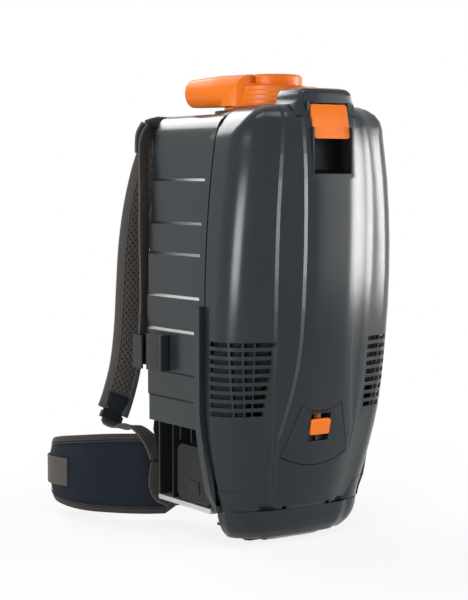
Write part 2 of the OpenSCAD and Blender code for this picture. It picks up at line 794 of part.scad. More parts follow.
module tub_form(t, front) {
    intersection() {
        push_y(front, back_y - t) polygon(tub_outline(t));
        round_block([-hw - 10 + t, front - 60, 0], [hw + 10 - t, back_y - t, body_h], 32 - t);
    }
}

switch_y = seam_y + 70;
switch_z = (band_z(6) + band_z(7)) / 2;
switch_l = 26;
switch_h = 15;
motor_y = seam_y + 68;
rim_split_z = cover_z(260);

module rear_tub() {
    color(plastic) difference() {
        union() {
            tub_form(0, rim_y);
            // rim that meets the cover
            push_y(rim_y, rim_y + rim_depth)
                polygon(seam_outline(rim_split_z + shell_gap, cover_top - 1.5, 0));
        }
        intersection() {
            tub_form(wall, rim_y - 1);
            union() {
                box([-hw, rim_y - 1, chamber_z], [hw, back_y, tub_top]);
                box([-hw, rim_y - 1, tub_z + wall], [hw, back_y, chamber_z - wall]);
            }
        }
        // lower part of the rim belongs to the chassis
        both_sides() box([hw - 9, rim_y - 1, tub_z - 1], [hw + 20, rim_y + rim_depth + shell_gap,
            rim_split_z]);
        // room for the swivel base, and the inlet hole
        rod_z(tub_top, body_h, 0, swivel_y, plate_r + 0.5);
        rod_z(tub_top - 10, body_h, 0, swivel_y, spigot_r + 0.4);
        // air way through the chamber's floor
        box([-58, motor_y - 30, chamber_z - 9], [58, motor_y + 30, chamber_z + 1]);
        // power switch
        box([hw - 30, switch_y - switch_l / 2, switch_z - switch_h / 2],
            [hw + 5, switch_y + switch_l / 2, switch_z + switch_h / 2]);
    }
}

module tub_gasket() {
    color("#141414") push_y(seam_y + 0.3, rim_y - 0.3) difference() {
        polygon(seam_outline(rim_split_z, cover_top - 13, -7));
        polygon(concat([[hw, rim_split_z - 1]], seam_side(rim_split_z - 1, tub_top - 7, -11, 24),
            rev(flip_x(seam_side(rim_split_z - 1, tub_top - 7, -11, 24))), [[-hw, rim_split_z - 1]]));
    }
}

// ---------- chassis, battery bay and feet ----------

base_top = base_z + 6;
plate_y = rim_y + rim_depth + 0.3;
bay_x = hw - 18;
bay_front = rim_y + 9;
bay_back = back_y - 7;
bay_top = tub_z - shell_gap;

function rim_ring(out, foot, head) = concat(seam_side(foot, head, out, 20),
    rev(flip_x(seam_side(foot, head, out, 20))));

module chassis() {
    fins = [bay_front + 26, bay_front + 52, bay_front + 78];
    pack_top = base_top + 1.5 + pack_h;
    color(plastic) {
        // flared rim beside and under the cover's foot
        difference() {
            push_y(rim_y, rim_y + rim_depth) polygon(rim_ring(7.5, bumper_h + 0.2, rim_split_z));
            push_y(rim_y - 1, rim_y + rim_depth + 1)
                polygon(concat([[-bay_x + 3, bumper_h + 9], [bay_x - 3, bumper_h + 9]],
                    seam_side(foot_tuck_z - 20, rim_split_z + 1, -5.5, 12),
                    rev(flip_x(seam_side(foot_tuck_z - 20, rim_split_z + 1, -5.5, 12)))));
        }
        // bay walls, closed but for the left side where the battery goes in
        difference() {
            box([-bay_x, bay_front, base_top], [bay_x, bay_back, bay_top]);
            box([-bay_x - 1, bay_front + wall, base_top - 1],
                [bay_x - wall, bay_back - wall, bay_top - wall]);
        }
        for (y = fins)
            box([-bay_x + 2, y, pack_top + 5], [-bay_x + 70, y + 2.6, bay_top - 1]);
        box([-bay_x + 2, bay_front + 96, base_top], [-bay_x + 40, bay_front + 98.6, bay_top - 1]);
    }
}

module base_plate() {
    color("silver") difference() {
        box([-bay_x - 1, plate_y, base_z], [bay_x + 1, back_y - 8, base_top]);
        box([-bay_x - 1 + sheet_t, plate_y + sheet_t, base_z - 1],
            [bay_x + 1 - sheet_t, back_y - 8 - sheet_t, base_top - sheet_t]);
    }
}

module stand_foot() {
    color(dark) difference() {
        union() {
            box([-34, seam_y + 46, 3], [34, seam_y + 110, base_top - sheet_t - 0.2]);
            box([-38, seam_y + 42, 0], [38, seam_y + 114, 3]);
        }
        for (x = [-22, 0, 22])
            box([x - 8, seam_y + 50, 6], [x + 8, seam_y + 106, base_top]);
    }
}

bumper_levels = [0, 4, 10, 18, 28, 36, bumper_h - 0.3];
bumper_back = plate_y - 0.4;
function bumper_ring(z) = let (
    u = z / bumper_h,
    w = (hw - 12) - 37 * pow(1 - u, 1.5),
    fy = face_line(bumper_h) - 2 + 26 * pow(1 - u, 2.6),
    r = min(34, bumper_back - fy - 11))
    at_z(concat(
        [[-w, bumper_back]],
        [for (i = [0:4]) let (a = i * 18) [-w + r - r * cos(a), fy + 9 + r - r * sin(a)]],
        [[-w * 0.35, fy + 1.5], [w * 0.35, fy + 1.5]],
        [for (i = [4:-1:0]) let (a = i * 18) [w - r + r * cos(a), fy + 9 + r - r * sin(a)]],
        [[w, bumper_back]]), z);

module front_bumper() {
    cells = [[-74, -39], [-36, -2], [2, 36], [39, 74]];
    color(plastic) {
        difference() {
            skin([for (z = bumper_levels) bumper_ring(z)]);
            // hollow cells between ribs, open below
            for (c = cells)
                box([c[0], seam_y - 2, -1], [c[1], bumper_back - 3.5, bumper_h - 6]);
            // underside that rises towards the front
            push_x(-hw, hw) polygon([[seam_y + 4, -1], [seam_y + 4, 0], [front_y, 22], [front_y, -1]]);
        }
        // goosenecks that carry the cover's hinge pins and let its foot swing under them
        both_sides() for (x = lug_places) difference() {
            union() {
                rod_x(x, x + lug_w, cover_pivot_y, cover_pivot_z, 3.2);
                box([x, cover_pivot_y, cover_pivot_z - 1.7], [x + lug_w, cover_pivot_y + 15,
                    cover_pivot_z + 1.7]);
                box([x, cover_pivot_y + 10.6, bumper_h - 4], [x + lug_w, cover_pivot_y + 15,
                    cover_pivot_z + 1.7]);
            }
            rod_x(0, hw, cover_pivot_y, cover_pivot_z, hinge_pin_r + 0.05);
        }
    }
}

// ---------- dust bag and motor filter ----------

collar_w = 104;
collar_l = 84;
holder_x = collar_w / 2 + 0.5;

module bag_collar() {
    color("#cfc6b4") difference() {
        round_block([-collar_w / 2, swivel_y - collar_l / 2 + 8, collar_z],
            [collar_w / 2, swivel_y + collar_l / 2 + 8, collar_z + 4], 8);
        rod_z(collar_z - 1, collar_z + 6, 0, swivel_y, spigot_r + 0.4);
    }
}

module bag_holder() {
    y = [swivel_y - 26, swivel_y + 62];
    color(dark) both_sides() {
        box([holder_x, y[0], collar_z - 3], [holder_x + 2.5, y[1], tub_top - wall - 0.3]);
        box([holder_x - 6, y[0], collar_z - 3], [holder_x, y[1], collar_z - 0.5]);
        box([holder_x - 6, y[0], collar_z + 4.5], [holder_x, y[1], collar_z + 7]);
    }
}

// Full fleece bag, rounded at the foot and gathered under its collar
module dust_bag() {
    foot = chamber_z + 16;
    top = collar_z - 0.3;
    function bag_ring(u) = let (
        w = 90 * pow(1 - pow(abs(2 * u - 0.9), 5) * 0.62, 0.5) * (u > 0.9 ? 1 - 2.4 * (u - 0.9) : 1),
        d = 48 * (u < 0.12 ? 0.72 + 2.3 * u : 1) * (u > 0.9 ? 1 - 2.4 * (u - 0.9) : 1))
        at_z([for (i = [0:17]) let (a = i * 20)
            [w * signed_pow(cos(a), 0.65), seam_y + 76 + d * signed_pow(sin(a), 0.65)]],
            foot + u * (top - foot));
    color("#d9d4c7") difference() {
        skin([for (u = [0, 0.04, 0.12, 0.3, 0.5, 0.7, 0.85, 0.93, 1]) bag_ring(u)]);
        rod_z(top - 25, top + 1, 0, swivel_y, spigot_r - 4);
    }
}

frame_x = 70;
frame_y = 38;

module motor_filter_frame() {
    color(dark) difference() {
        box([-frame_x, motor_y - frame_y, chamber_z + 0.2], [frame_x, motor_y + frame_y, chamber_z + 11]);
        box([-frame_x + 4, motor_y - frame_y + 4, chamber_z + 3], [frame_x - 4, motor_y + frame_y - 4,
            chamber_z + 12]);
        for (i = [-3:3], j = [-1:1])
            box([i * 17 - 7, motor_y + j * 19 - 8, chamber_z - 1],
                [i * 17 + 7, motor_y + j * 19 + 8, chamber_z + 4]);
    }
}

module motor_filter() {
    color("#2e3a44") box([-frame_x + 4.3, motor_y - frame_y + 4.3, chamber_z + 3.2],
        [frame_x - 4.3, motor_y + frame_y - 4.3, chamber_z + 10.5]);
}

// ---------- motor ----------

case_z = tub_z + wall + 12;
case_top = case_z + motor_h;
bearing_r = 11;
bearing_h = 7;
hub_z = case_z + 56;
fan_z = case_z + 66;

module motor_case() {
    color("#2a2d30") translate([0, motor_y, 0]) difference() {
        union() {
            rod_z(case_z, case_top, 0, 0, motor_r);
            for (a = [0:45:315]) rotate([0, 0, a])
                box([motor_r - 1, -1.5, case_z + 4], [motor_r + 3, 1.5, case_top - 4]);
        }
        difference() {
            rod_z(case_z + 4, case_top + 1, 0, 0, motor_r - 4);
            rod_z(case_z, case_z + 4 + bearing_h, 0, 0, bearing_r + 4);
            rod_z(hub_z - 4, hub_z + 4, 0, 0, motor_r);
        }
        // bearing seats and the way for the shaft
        rod_z(case_z + 4, case_z + 20, 0, 0, bearing_r + 0.05);
        rod_z(hub_z - 5, hub_z + 1, 0, 0, bearing_r + 0.05);
        rod_z(case_z + 2, case_top, 0, 0, shaft_r + 1);
        // cooling ports low in the wall, air ports in the middle web
        for (a = [22.5:45:360]) rotate([0, 0, a]) {
            box([motor_r - 9, -9, case_z + 10], [motor_r + 5, 9, case_z + 34]);
            box([motor_r - 24, -6, hub_z - 6], [motor_r - 8, 6, hub_z + 6]);
        }
    }
}

module motor_stator() {
    color("#8a5a32") translate([0, motor_y, case_z + 17]) linear_extrude(34) difference() {
        circle(r = motor_r - 8);
        circle(r = 19.9);
        for (a = [0:30:330]) rotate(a) translate([27, 0]) square([11, 5], center = true);
    }
    // feet that seat the stator in the case
    color("#8a5a32") for (a = [0:90:270]) translate([0, motor_y, case_z + 22]) rotate([0, 0, a])
        box([motor_r - 8.2, -4, 0], [motor_r - 4.5, 4, 22]);
}

module motor_shaft() {
    color("silver") rod_z(case_z + 4.3, fan_z + 16, 0, motor_y, shaft_r);
}

module motor_rotor() {
    color("#9a9da0") difference() {
        rod_z(case_z + 18, case_z + 50, 0, motor_y, 19.4);
        rod_z(case_z, case_top, 0, motor_y, shaft_r + 0.05);
    }
}

module fan_impeller() {
    blade_h = 13;
    color("#c9ccd0") translate([0, motor_y, fan_z]) {
        difference() {
            union() {
                cylinder(h = 2, r = fan_r);
                cylinder(h = blade_h, r = 8);
                translate([0, 0, blade_h]) difference() {
                    cylinder(h = 1.6, r = fan_r);
                    translate([0, 0, -1]) cylinder(h = 4, r = 17);
                }
                for (k = [0:fan_blades - 1]) rotate(k * 360 / fan_blades)
                    translate([0, 0, 1]) linear_extrude(blade_h)
                        polygon(concat(
                            [for (i = [0:6]) let (r = 14 + (fan_r - 14.6) * i / 6, a = i * 7)
                                [r * cos(a), r * sin(a)]],
                            [for (i = [6:-1:0]) let (r = 14 + (fan_r - 14.6) * i / 6, a = i * 7 + 110 / r)
                                [r * cos(a), r * sin(a)]]));
            }
            translate([0, 0, -1]) cylinder(h = blade_h + 5, r = shaft_r + 0.05);
        }
    }
}

module fan_shroud() {
    color("#2a2d30") translate([0, motor_y, case_top + 0.2]) difference() {
        union() {
            cylinder(h = 3, r = motor_r);
            cylinder(h = 8, r = 24);
        }
        translate([0, 0, -1]) cylinder(h = 12, r = 18);
    }
}

module motor_bearings() {
    color("silver") for (z = [case_z + 4.3, hub_z - 4]) translate([0, motor_y, z]) difference() {
        cylinder(h = z > case_z + 20 ? 5 : bearing_h - 0.4, r = bearing_r);
        translate([0, 0, -1]) cylinder(h = bearing_h + 2, r = shaft_r + 0.05);
    }
}

module motor_mounts() {
    color("#151515") {
        difference() {
            rod_z(tub_z + wall + 0.2, case_z - 0.3, 0, motor_y, 38);
            rod_z(tub_z, case_z + 1, 0, motor_y, 28);
        }
        difference() {
            rod_z(case_top + 3.5, chamber_z - wall - 0.3, 0, motor_y, 36);
            rod_z(case_top, chamber_z, 0, motor_y, 25);
        }
    }
}

module control_board() {
    wall_y = back_y - wall;
    color("#1f5a3a") box([22, wall_y - 11, tub_z + 18], [104, wall_y - 9.4, chamber_z - 16]);
    color("#b8bcc0") for (x = [28, 98], z = [tub_z + 24, chamber_z - 22])
        rod_y(wall_y - 9.4, wall_y - 0.3, x, z, 3);
    color("#30363c") {
        rod_y(wall_y - 33, wall_y - 11, 84, tub_z + 40, 8);
        rod_y(wall_y - 33, wall_y - 11, 84, tub_z + 62, 8);
        box([60, wall_y - 17, tub_z + 78], [96, wall_y - 11, tub_z + 96]);
    }
}

// ---------- power switch ----------

bezel_x = band_w(6);

module switch_bezel() {
    color(dark) difference() {
        union() {
            box([bezel_x, switch_y - switch_l / 2 - 3, switch_z - switch_h / 2 - 3],
                [bezel_x + 2, switch_y + switch_l / 2 + 3, switch_z + switch_h / 2 + 3]);
            box([bezel_x - 20, switch_y - switch_l / 2 + 0.3, switch_z - switch_h / 2 + 0.3],
                [bezel_x, switch_y + switch_l / 2 - 0.3, switch_z + switch_h / 2 - 0.3]);
        }
        box([bezel_x - 17, switch_y - switch_l / 2 + 2, switch_z - switch_h / 2 + 2],
            [bezel_x + 5, switch_y + switch_l / 2 - 2, switch_z + switch_h / 2 - 2]);
    }
    color("silver") rod_z(switch_z - 7, switch_z + 7, bezel_x - 4, switch_y, 1);
}

// Shallow vee drawn in X and Y that turns about the upright pin
module power_switch() {
    half = switch_l / 2 - 3.2;
    color(orange) translate([0, switch_y, 0]) difference() {
        translate([0, 0, switch_z - switch_h / 2 + 2.4]) linear_extrude(switch_h - 4.8)
            polygon([[bezel_x - 7, -5], [bezel_x - 1.2, -half], [bezel_x + 4.2, -half + 0.6],
                [bezel_x + 1.6, 0], [bezel_x + 4.2, half - 0.6], [bezel_x - 1.2, half],
                [bezel_x - 7, 5]]);
        rod_z(switch_z - 20, switch_z + 20, bezel_x - 4, 0, 1.05);
    }
}

// ---------- battery ----------

pack_x0 = -bay_x + 2;
pack_y0 = bay_front + wall + 3;
pack_z0 = base_top + 1.5;
button_y = pack_y0 + pack_d / 2;
button_z = pack_z0 + 20;

module battery_pack() {
    color(dark) difference() {
        union() {
            push_x(pack_x0, pack_x0 + pack_l)
                translate([pack_y0 + pack_d / 2, pack_z0 + pack_h / 2])
                    polygon(round_rect(pack_d, pack_h, 12));
            // grip ribs round the near end
            for (x = [pack_x0 + 14, pack_x0 + 20, pack_x0 + 26]) push_x(x, x + 2.4)
                translate([pack_y0 + pack_d / 2, pack_z0 + pack_h / 2])
                    polygon(round_rect(pack_d + 1.6, pack_h + 1.6, 12.8));
        }
        box([pack_x0 - 1, button_y - 13, button_z - 8], [pack_x0 + 9, button_y + 13, button_z + 8]);
        box([pack_x0 + pack_l - 14, button_y - 16, pack_z0 + 26], [pack_x0 + pack_l + 1, button_y + 16,
            pack_z0 + 44]);
    }
}

module battery_latch() {
    color("#2c3035") {
        box([pack_x0 - 1, button_y - 12.5, button_z - 7.5], [pack_x0 + 4, button_y + 12.5, button_z + 7.5]);
        for (z = [-4, 0, 4])
            box([pack_x0 - 2, button_y - 9, button_z + z - 0.8], [pack_x0 - 1, button_y + 9,
                button_z + z + 0.8]);
    }
}

module battery_contacts() {
    x = pack_x0 + pack_l;
    color("#c08a3a") for (i = [-1.5:1:1.5])
        box([x - 9, button_y + i * 7 - 0.6, pack_z0 + 30], [x + 2, button_y + i * 7 + 0.6, pack_z0 + 40]);
    color("#222222") box([x + 1, button_y - 18, base_top + 0.2], [x + 14, button_y + 18, pack_z0 + 48]);
}

module battery_rails() {
    color("#8d9196") for (y = [pack_y0 + 12, pack_y0 + pack_d - 18])
        box([pack_x0 + 30, y, base_top], [pack_x0 + pack_l - 4, y + 6, pack_z0 - 0.3]);
}

// ---------- side clips ----------

clip_z0 = band_z(2) + 2;
clip_z1 = clip_z0 + 46;
clip_x = band_w(2) + 0.3;

module accessory_clips() {
    color(dark) both_sides() {
        round_block([clip_x, back_y - 68, clip_z0], [clip_x + 15, back_y - 32, clip_z1], 3);
        box([clip_x, back_y - 33, clip_z0 + 3], [clip_x + 2.5, back_y - 4, clip_z1 - 3]);
        box([clip_x, back_y - 7, clip_z0 + 3], [clip_x + 17, back_y - 4, clip_z1 - 3]);
        box([clip_x + 14.5, back_y - 26, clip_z0], [clip_x + 17, back_y - 4, clip_z1 - 3]);
    }
}

// ---------- harness frame ----------

frame_mid_y = back_y + frame_gap;
frame_top = cover_top - 18;
frame_line = [[back_y - 10, 28], [back_y + 5, 62], [frame_mid_y - 2, 135], [frame_mid_y + 3, 200],
    [frame_mid_y + 1, cover_z(357)], [frame_mid_y - 10, cover_z(457)], [frame_mid_y - 18, frame_top]];

// The frame's middle line at a height
function line_y(z, i = 0) = i >= len(frame_line) - 2 || z <= frame_line[i + 1][1]
    ? let (a = frame_line[i], b = frame_line[i + 1])
        a[0] + (b[0] - a[0]) * (z - a[1]) / (b[1] - a[1])
    : line_y(z, i + 1);

post_x = 44;
post_z = [190, cover_z(417)];

module harness_frame() {
    half = frame_t / 2;
    color(dark) {
        difference() {
            intersection() {
                push_x(-hw, hw) polygon(concat([for (p = frame_line) [p[0] - half, p[1]]],
                    rev([for (p = frame_line) [p[0] + half, p[1]]])));
                push_y(-hw, 2 * hw) polygon(concat(frame_side(), rev(flip_x(frame_side()))));
            }
            // lightening windows
            for (z = [80, 240, 300, 360])
                push_y(-hw, 2 * hw) translate([0, z]) polygon(round_rect(56, 40, 8));
            push_y(-hw, 2 * hw) translate([0, frame_top - 34]) polygon(round_rect(100, 24, 8));
        }
        // brackets that carry the belt's wings
        both_sides() translate([0, 0, belt_z - 14]) linear_extrude(28) difference() {
            polygon([[66, line_y(belt_z - 14)], [66, line_y(belt_z) + 18.4], [90, line_y(belt_z) + 27.2],
                [90, line_y(belt_z - 14)]]);
            translate([70, line_y(belt_z + 14) + 4]) square([16, 10]);
        }
        // posts to the tub's back wall
        both_sides() for (z = post_z) difference() {
            rod_y(back_y + 0.3, line_y(z) - half + 0.5, post_x, z, 8);
            rod_y(back_y - 1, line_y(z) - half - 3, post_x, z, 2.2);
        }
    }
}

function frame_side() = [[88, 28], [98, 40], [98, 126], [86, 160], [62, 200], [58, cover_z(357)],
    [74, cover_z(417)], [100, cover_z(447)], [104, frame_top - 10], [96, frame_top]];

// ---------- soft parts ----------

// Direction along a path at a point
function along(path, i) = unit(path[min(i + 1, len(path) - 1)] - path[max(i - 1, 0)]);

// Rings across a path: cuts lists each ring's points as [across, out]
function sweep(path, side, cuts) = [for (i = [0:len(path) - 1]) let (
    t = along(path, i), wide = unit(side - t * (side * t)), n = cross(t, wide))
    [for (c = cuts[i]) path[i] + wide * c[0] + n * c[1]]];

module ribbon(path, side, w, t) {
    skin(sweep(path, side, [for (p = path)
        [[w / 2, -t / 2], [w / 2, t / 2], [-w / 2, t / 2], [-w / 2, -t / 2]]]));
}

// Crowned cut across a cushion, with edges drawn in to a piped seam
function cushion_cut(w, t, n = 16) = [for (i = [0:n - 1]) let (a = 360 * i / n)
    [w / 2 * signed_pow(cos(a), 0.62), t / 2 * signed_pow(sin(a), 0.85)]];

// Smooth curve through a list of points, with steps between each pair
function curve(p, steps) = concat([for (i = [0:len(p) - 2], s = [0:steps - 1])
    let (u = s / steps, a = p[max(i - 1, 0)], b = p[i], c = p[i + 1], d = p[min(i + 2, len(p) - 1)])
    0.5 * (2 * b + (c - a) * u + (2 * a - 5 * b + 4 * c - d) * u * u
        + (3 * b - a - 3 * c + d) * u * u * u)], [p[len(p) - 1]]);

back_pad_z = [158, cover_z(427)];

module back_pad() {
    steps = 24;
    t = 13;
    path = [for (i = [0:steps]) let (z = back_pad_z[0] + (back_pad_z[1] - back_pad_z[0]) * i / steps)
        [0, line_y(z) + frame_t / 2 + 0.4 + t / 2 + 0.6, z]];
    // three sewn channels across, and rounded ends
    function swell(i) = let (u = i / steps) (0.55 + 0.45 * pow(abs(sin(u * 540)), 0.5))
        * min(1, 0.35 + 4 * min(u, 1 - u));
    function breadth(i) = let (u = i / steps) 116 * min(1, 0.72 + 2 * min(u, 1 - u));
    color("#23272c") skin(sweep(path, [1, 0, 0],
        [for (i = [0:steps]) cushion_cut(breadth(i), t * swell(i), 18)]));
}

strap_y = frame_mid_y + 62;

// Middle line of the left shoulder strap, from the frame's top to the hip
function strap_points() = [
    [-84, line_y(frame_top - 6) + frame_t / 2 + strap_t / 2 + 1, frame_top - 5],
    [-84, line_y(frame_top - 30) + 22, frame_top - 28],
    [-85, strap_y - 30, cover_z(427)], [-87, strap_y - 13, cover_z(380)],
    [-90, strap_y - 4, cover_z(327)], [-92, strap_y, cover_z(267)], [-95, strap_y + 1, cover_z(212)],
    [-103, strap_y - 1, 205], [-116, strap_y - 4, 166], [-126, strap_y - 6, 144]];

module shoulder_strap() {
    path = curve(strap_points(), 2);
    n = len(path) - 1;
    function swell(i) = min(1, 0.5 + 2.5 * min(i / n, 1 - i / n));
    color("#3f3d3b") skin(sweep(path, [1, 0, 0],
        [for (i = [0:n]) cushion_cut(strap_w - 12, strap_t * swell(i), 14)]));
}

module shoulder_strap_left() {
    shoulder_strap();
}

module shoulder_strap_right() {
    mirror([1, 0, 0]) shoulder_strap();
}

strap_end = strap_points()[9];
adjuster_z = 134;

strap_dir = unit(strap_end - strap_points()[8]);

// Webbing from each padded strap's end, through its adjuster and over to the frame's side
module shoulder_webbing() {
    color("#4a4744") both_sides() mirror([1, 0, 0]) ribbon(curve([
        strap_end + 0.7 * strap_dir, strap_end + 7 * strap_dir, strap_end + 15 * strap_dir,
        [-126, 92, 124.5], [-115, 74, 128], [-106, 58, 119],
        [-100.5, line_y(104) + 8, 105], [-98.5, line_y(88) + frame_t / 2 + 1.6, 88]], 3),
        [1, 0, -0.2], web_w, web_t);
}

module strap_adjusters() {
    // ladder-lock frame round the webbing just below the padded strap
    color(dark) both_sides() mirror([1, 0, 0])
        translate(strap_end + 7.4 * strap_dir) rotate([-4.7, 24.3, 0]) difference() {
            cube([web_w + 9, 6.4, 9], center = true);
            cube([web_w + 3, 5.2, 14], center = true);
        }
}

// Webbing loops at the top of the frame that carry the straps
module carry_loop() {
    y0 = line_y(frame_top - 8) - frame_t / 2;
    color("#4a4744") {
        both_sides() mirror([1, 0, 0]) ribbon(curve([
            [-84, y0 + 4.6, frame_top - 34], [-84, y0 - 1.2, frame_top - 14],
            [-84, y0 - 3.1, frame_top + 2], [-84, y0 + frame_t + 1.5, frame_top + 7.5],
            [-84, y0 + frame_t + 17, frame_top + 1]], 3), [1, 0, 0], web_w, web_t);
    }
}

belt_z = 62.5;
web_y = back_y + belt_t / 2 + 189.1;
// Middle line of the belt's left wing, from the frame round to its tip
belt_points = [[-62, line_y(belt_z) + 24, belt_z], [-100, line_y(belt_z) + 42, belt_z],
    [-138, back_y + 78, belt_z], [-belt_reach + 15, back_y + 106, belt_z],
    [-belt_reach + 1, back_y + 142, belt_z], [-belt_reach + 10, back_y + 172, belt_z - 1],
    [-belt_reach + 33, web_y - web_t / 2 - 3, belt_z - 2]];

module belt_wing() {
    path = curve(belt_points, 3);
    n = len(path) - 1;
    function high(i) = belt_h * (1 - 0.5 * pow(i / n, 3.5)) * min(1, 0.8 + 3 * i / n);
    function thick(i) = belt_t * min(1, 0.45 + 3 * min(i / n, 1 - i / n));
    color("#1b222c") skin(sweep(path, [0, 0, 1], [for (i = [0:n]) cushion_cut(high(i), thick(i), 14)]));
}

module belt_pad_left() {
    belt_wing();
}

module belt_pad_right() {
    mirror([1, 0, 0]) belt_wing();
}

buckle_w = 34;

module belt_web(inner) {
    ribbon([[-belt_reach + 12, web_y, belt_z - 2], [-belt_reach / 2, web_y, belt_z - 2],
        [inner, web_y, belt_z - 2]], [0, 0, 1], web_w, web_t);
}

module belt_webbing_left() {
    color("#4a4744") belt_web(-22.4);
}

module belt_webbing_right() {
    color("#4a4744") mirror([1, 0, 0]) belt_web(-34.4);
}

// Side-release buckle: the male half draws out to the left
module buckle_male() {
    z = belt_z - 2;
    color(dark) {
        difference() {
            box([-27, web_y - 4, z - buckle_w / 2], [-6, web_y + 4, z + buckle_w / 2]);
            box([-25, web_y - 1.8, z - web_w / 2 - 1], [-14, web_y + 1.8, z + web_w / 2 + 1]);
            box([-28, web_y - 1.4, z - web_w / 2 - 0.5], [-24, web_y + 1.4, z + web_w / 2 + 0.5]);
        }
        box([-7, web_y - 1.6, z - 2.6], [20, web_y + 1.6, z + 2.6]);
        for (s = [-1, 1]) translate([0, web_y + 1.6, z]) rotate([90, 0, 0]) linear_extrude(3.2)
            polygon([[-7, s * 8], [-7, s * 13], [4, s * 13.4], [9, s * 13.7], [14, s * 13],
                [16, s * 9.6], [12, s * 8.6]]);
    }
}

module buckle_female() {
    z = belt_z - 2;
    color(dark) difference() {
        box([-5.4, web_y - 4.6, z - buckle_w / 2 + 1.2], [36, web_y + 4.6, z + buckle_w / 2 - 1.2]);
        box([-7, web_y - 2, z - 14], [22, web_y + 2, z + 14]);
        box([2.6, web_y - 2, z - buckle_w], [12.8, web_y + 2, z + buckle_w]);
        box([25, web_y - 6, z - web_w / 2 - 0.6], [29, web_y + 6, z + web_w / 2 + 0.6]);
        box([28, web_y - 1.4, z - web_w / 2 - 0.6], [38, web_y + 1.4, z + web_w / 2 + 0.6]);
    }
}

// Webbing loops low on the frame's sides, for the belt's wings
module belt_tethers() {
    color("#4a4744") both_sides() mirror([1, 0, 0])
        ribbon(curve([[-100.5, line_y(82) + frame_t / 2 + 1.5, 82], [-103, line_y(66) + 9, 67],
            [-104, line_y(50) + 15, 52], [-102, line_y(38) + 12, 38],
            [-92, line_y(32) + frame_t / 2 + 2.4, 31]], 3), [1, 0, 0], web_w - 5, web_t);
}

// ---------- fasteners ----------

module case_screws() {
    color("silver") {
        both_sides() for (z = post_z)
            rod_y(line_y(z) + frame_t / 2 + 0.5, line_y(z) + frame_t / 2 + 2.9, post_x, z, 4);
        both_sides() for (y = [seam_y + 30, back_y - 30])
            rod_z(base_top - sheet_t - 2.3, base_top - sheet_t - 0.3, 84, y, 4.5);
    }
}

front_bumper();
base_plate();
stand_foot();
chassis();
rear_tub();
tub_gasket();
front_cover();
cover_hinge_pins();
cover_latch();
latch_pin();
latch_spring();
latch_catch();
exhaust_foams();
filter_door();
door_latch();
door_latch_spring();
exhaust_filter();
exhaust_filter_frame();
swivel_base();
swivel_seal();
hose_swivel();
inlet_spigot();
bag_collar();
bag_holder();
dust_bag();
motor_filter();
motor_filter_frame();
motor_case();
motor_stator();
motor_shaft();
motor_rotor();
fan_impeller();
fan_shroud();
motor_bearings();
motor_mounts();
control_board();
switch_bezel();
power_switch();
battery_pack();
battery_latch();
battery_contacts();
battery_rails();
accessory_clips();
harness_frame();
back_pad();
shoulder_strap_left();
shoulder_strap_right();
shoulder_webbing();
strap_adjusters();
carry_loop();
belt_pad_left();
belt_pad_right();
belt_webbing_left();
belt_webbing_right();
buckle_female();
buckle_male();
belt_tethers();
case_screws();
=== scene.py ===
"""Looks of a battery backpack vacuum cleaner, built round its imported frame."""

import json
import math

import bmesh
import bpy
from bpy.props import FloatProperty, FloatVectorProperty, PointerProperty
from mathutils import Matrix, Vector, interpolate, noise
from mathutils.bvhtree import BVHTree


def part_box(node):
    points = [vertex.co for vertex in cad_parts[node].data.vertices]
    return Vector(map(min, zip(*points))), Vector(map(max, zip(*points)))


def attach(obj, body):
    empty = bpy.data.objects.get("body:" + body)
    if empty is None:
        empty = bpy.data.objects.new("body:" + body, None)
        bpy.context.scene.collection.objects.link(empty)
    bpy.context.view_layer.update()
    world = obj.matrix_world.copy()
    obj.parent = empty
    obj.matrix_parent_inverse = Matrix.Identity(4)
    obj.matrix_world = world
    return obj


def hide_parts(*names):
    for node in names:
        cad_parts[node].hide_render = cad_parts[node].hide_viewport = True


bl_info = {
    "name": "Backpack vacuum cleaner",
    "version": (1, 0, 0),
    "blender": (4, 5, 0),
    "location": "View3D > Sidebar > Vacuum",
    "description": "Builds the shell, harness and finishes of a backpack vacuum cleaner",
    "category": "Object",
}

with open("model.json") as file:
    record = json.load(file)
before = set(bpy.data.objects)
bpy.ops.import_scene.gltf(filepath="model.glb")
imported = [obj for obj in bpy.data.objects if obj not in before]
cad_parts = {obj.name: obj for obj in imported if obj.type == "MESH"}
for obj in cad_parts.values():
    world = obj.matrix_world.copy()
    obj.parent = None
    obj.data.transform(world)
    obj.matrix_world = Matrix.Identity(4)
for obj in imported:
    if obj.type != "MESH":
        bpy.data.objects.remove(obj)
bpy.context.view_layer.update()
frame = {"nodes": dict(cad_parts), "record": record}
MM = 0.001

# ---------- the body's own sizes, in millimetres ----------

HALF_W = 130
SEAM_Y = -130
FRONT_Y = -219
FOOT_Z = 43
COVER_TOP = 551
BELLY_Z = 430
# the cover's front: how much it bows, its rounded corners, and its four crease steps
FRONT_CROWN = 0.0018
CORNER_R = 44
CREASE_STEP = 2.2
CREASE_HALF = 1.6
CREASE_ENDS = (50, 548)
# the cover's foot: where its edge is chamfered and where its corners start to round off
CHAMFER_TOP = 46
FOOT_R = 35
FOOT_ROUND_Z = 73
# the bumper's back face, the middle from which its outline is measured, how far it stands
# back from the cover's foot, and how much its upper lip is raised to meet the foot
BUMPER_BACK = -115.4
BUMPER_MID = -116
BUMPER_INSET = 3.5
BUMPER_LIP = 2.7
# boxes (low, high) of the recesses whose faces get a near-black finish as painted shade
HAND_RECESS = ((-28.8, -213, 464), (28.8, -178, 509.4))
LATCH_RECESS = ((-26, -207, 508), (26, -178, 549))
BATTERY_BAY = ((-112, -117, 24), (111, 14, 143))
# points (y, z) of the harness frame's middle line
FRAME_LINE = [(8, 28), (23, 62), (50, 135), (55, 200), (53, 400), (42, 500), (34, 533)]


# ---------- shader maths ----------


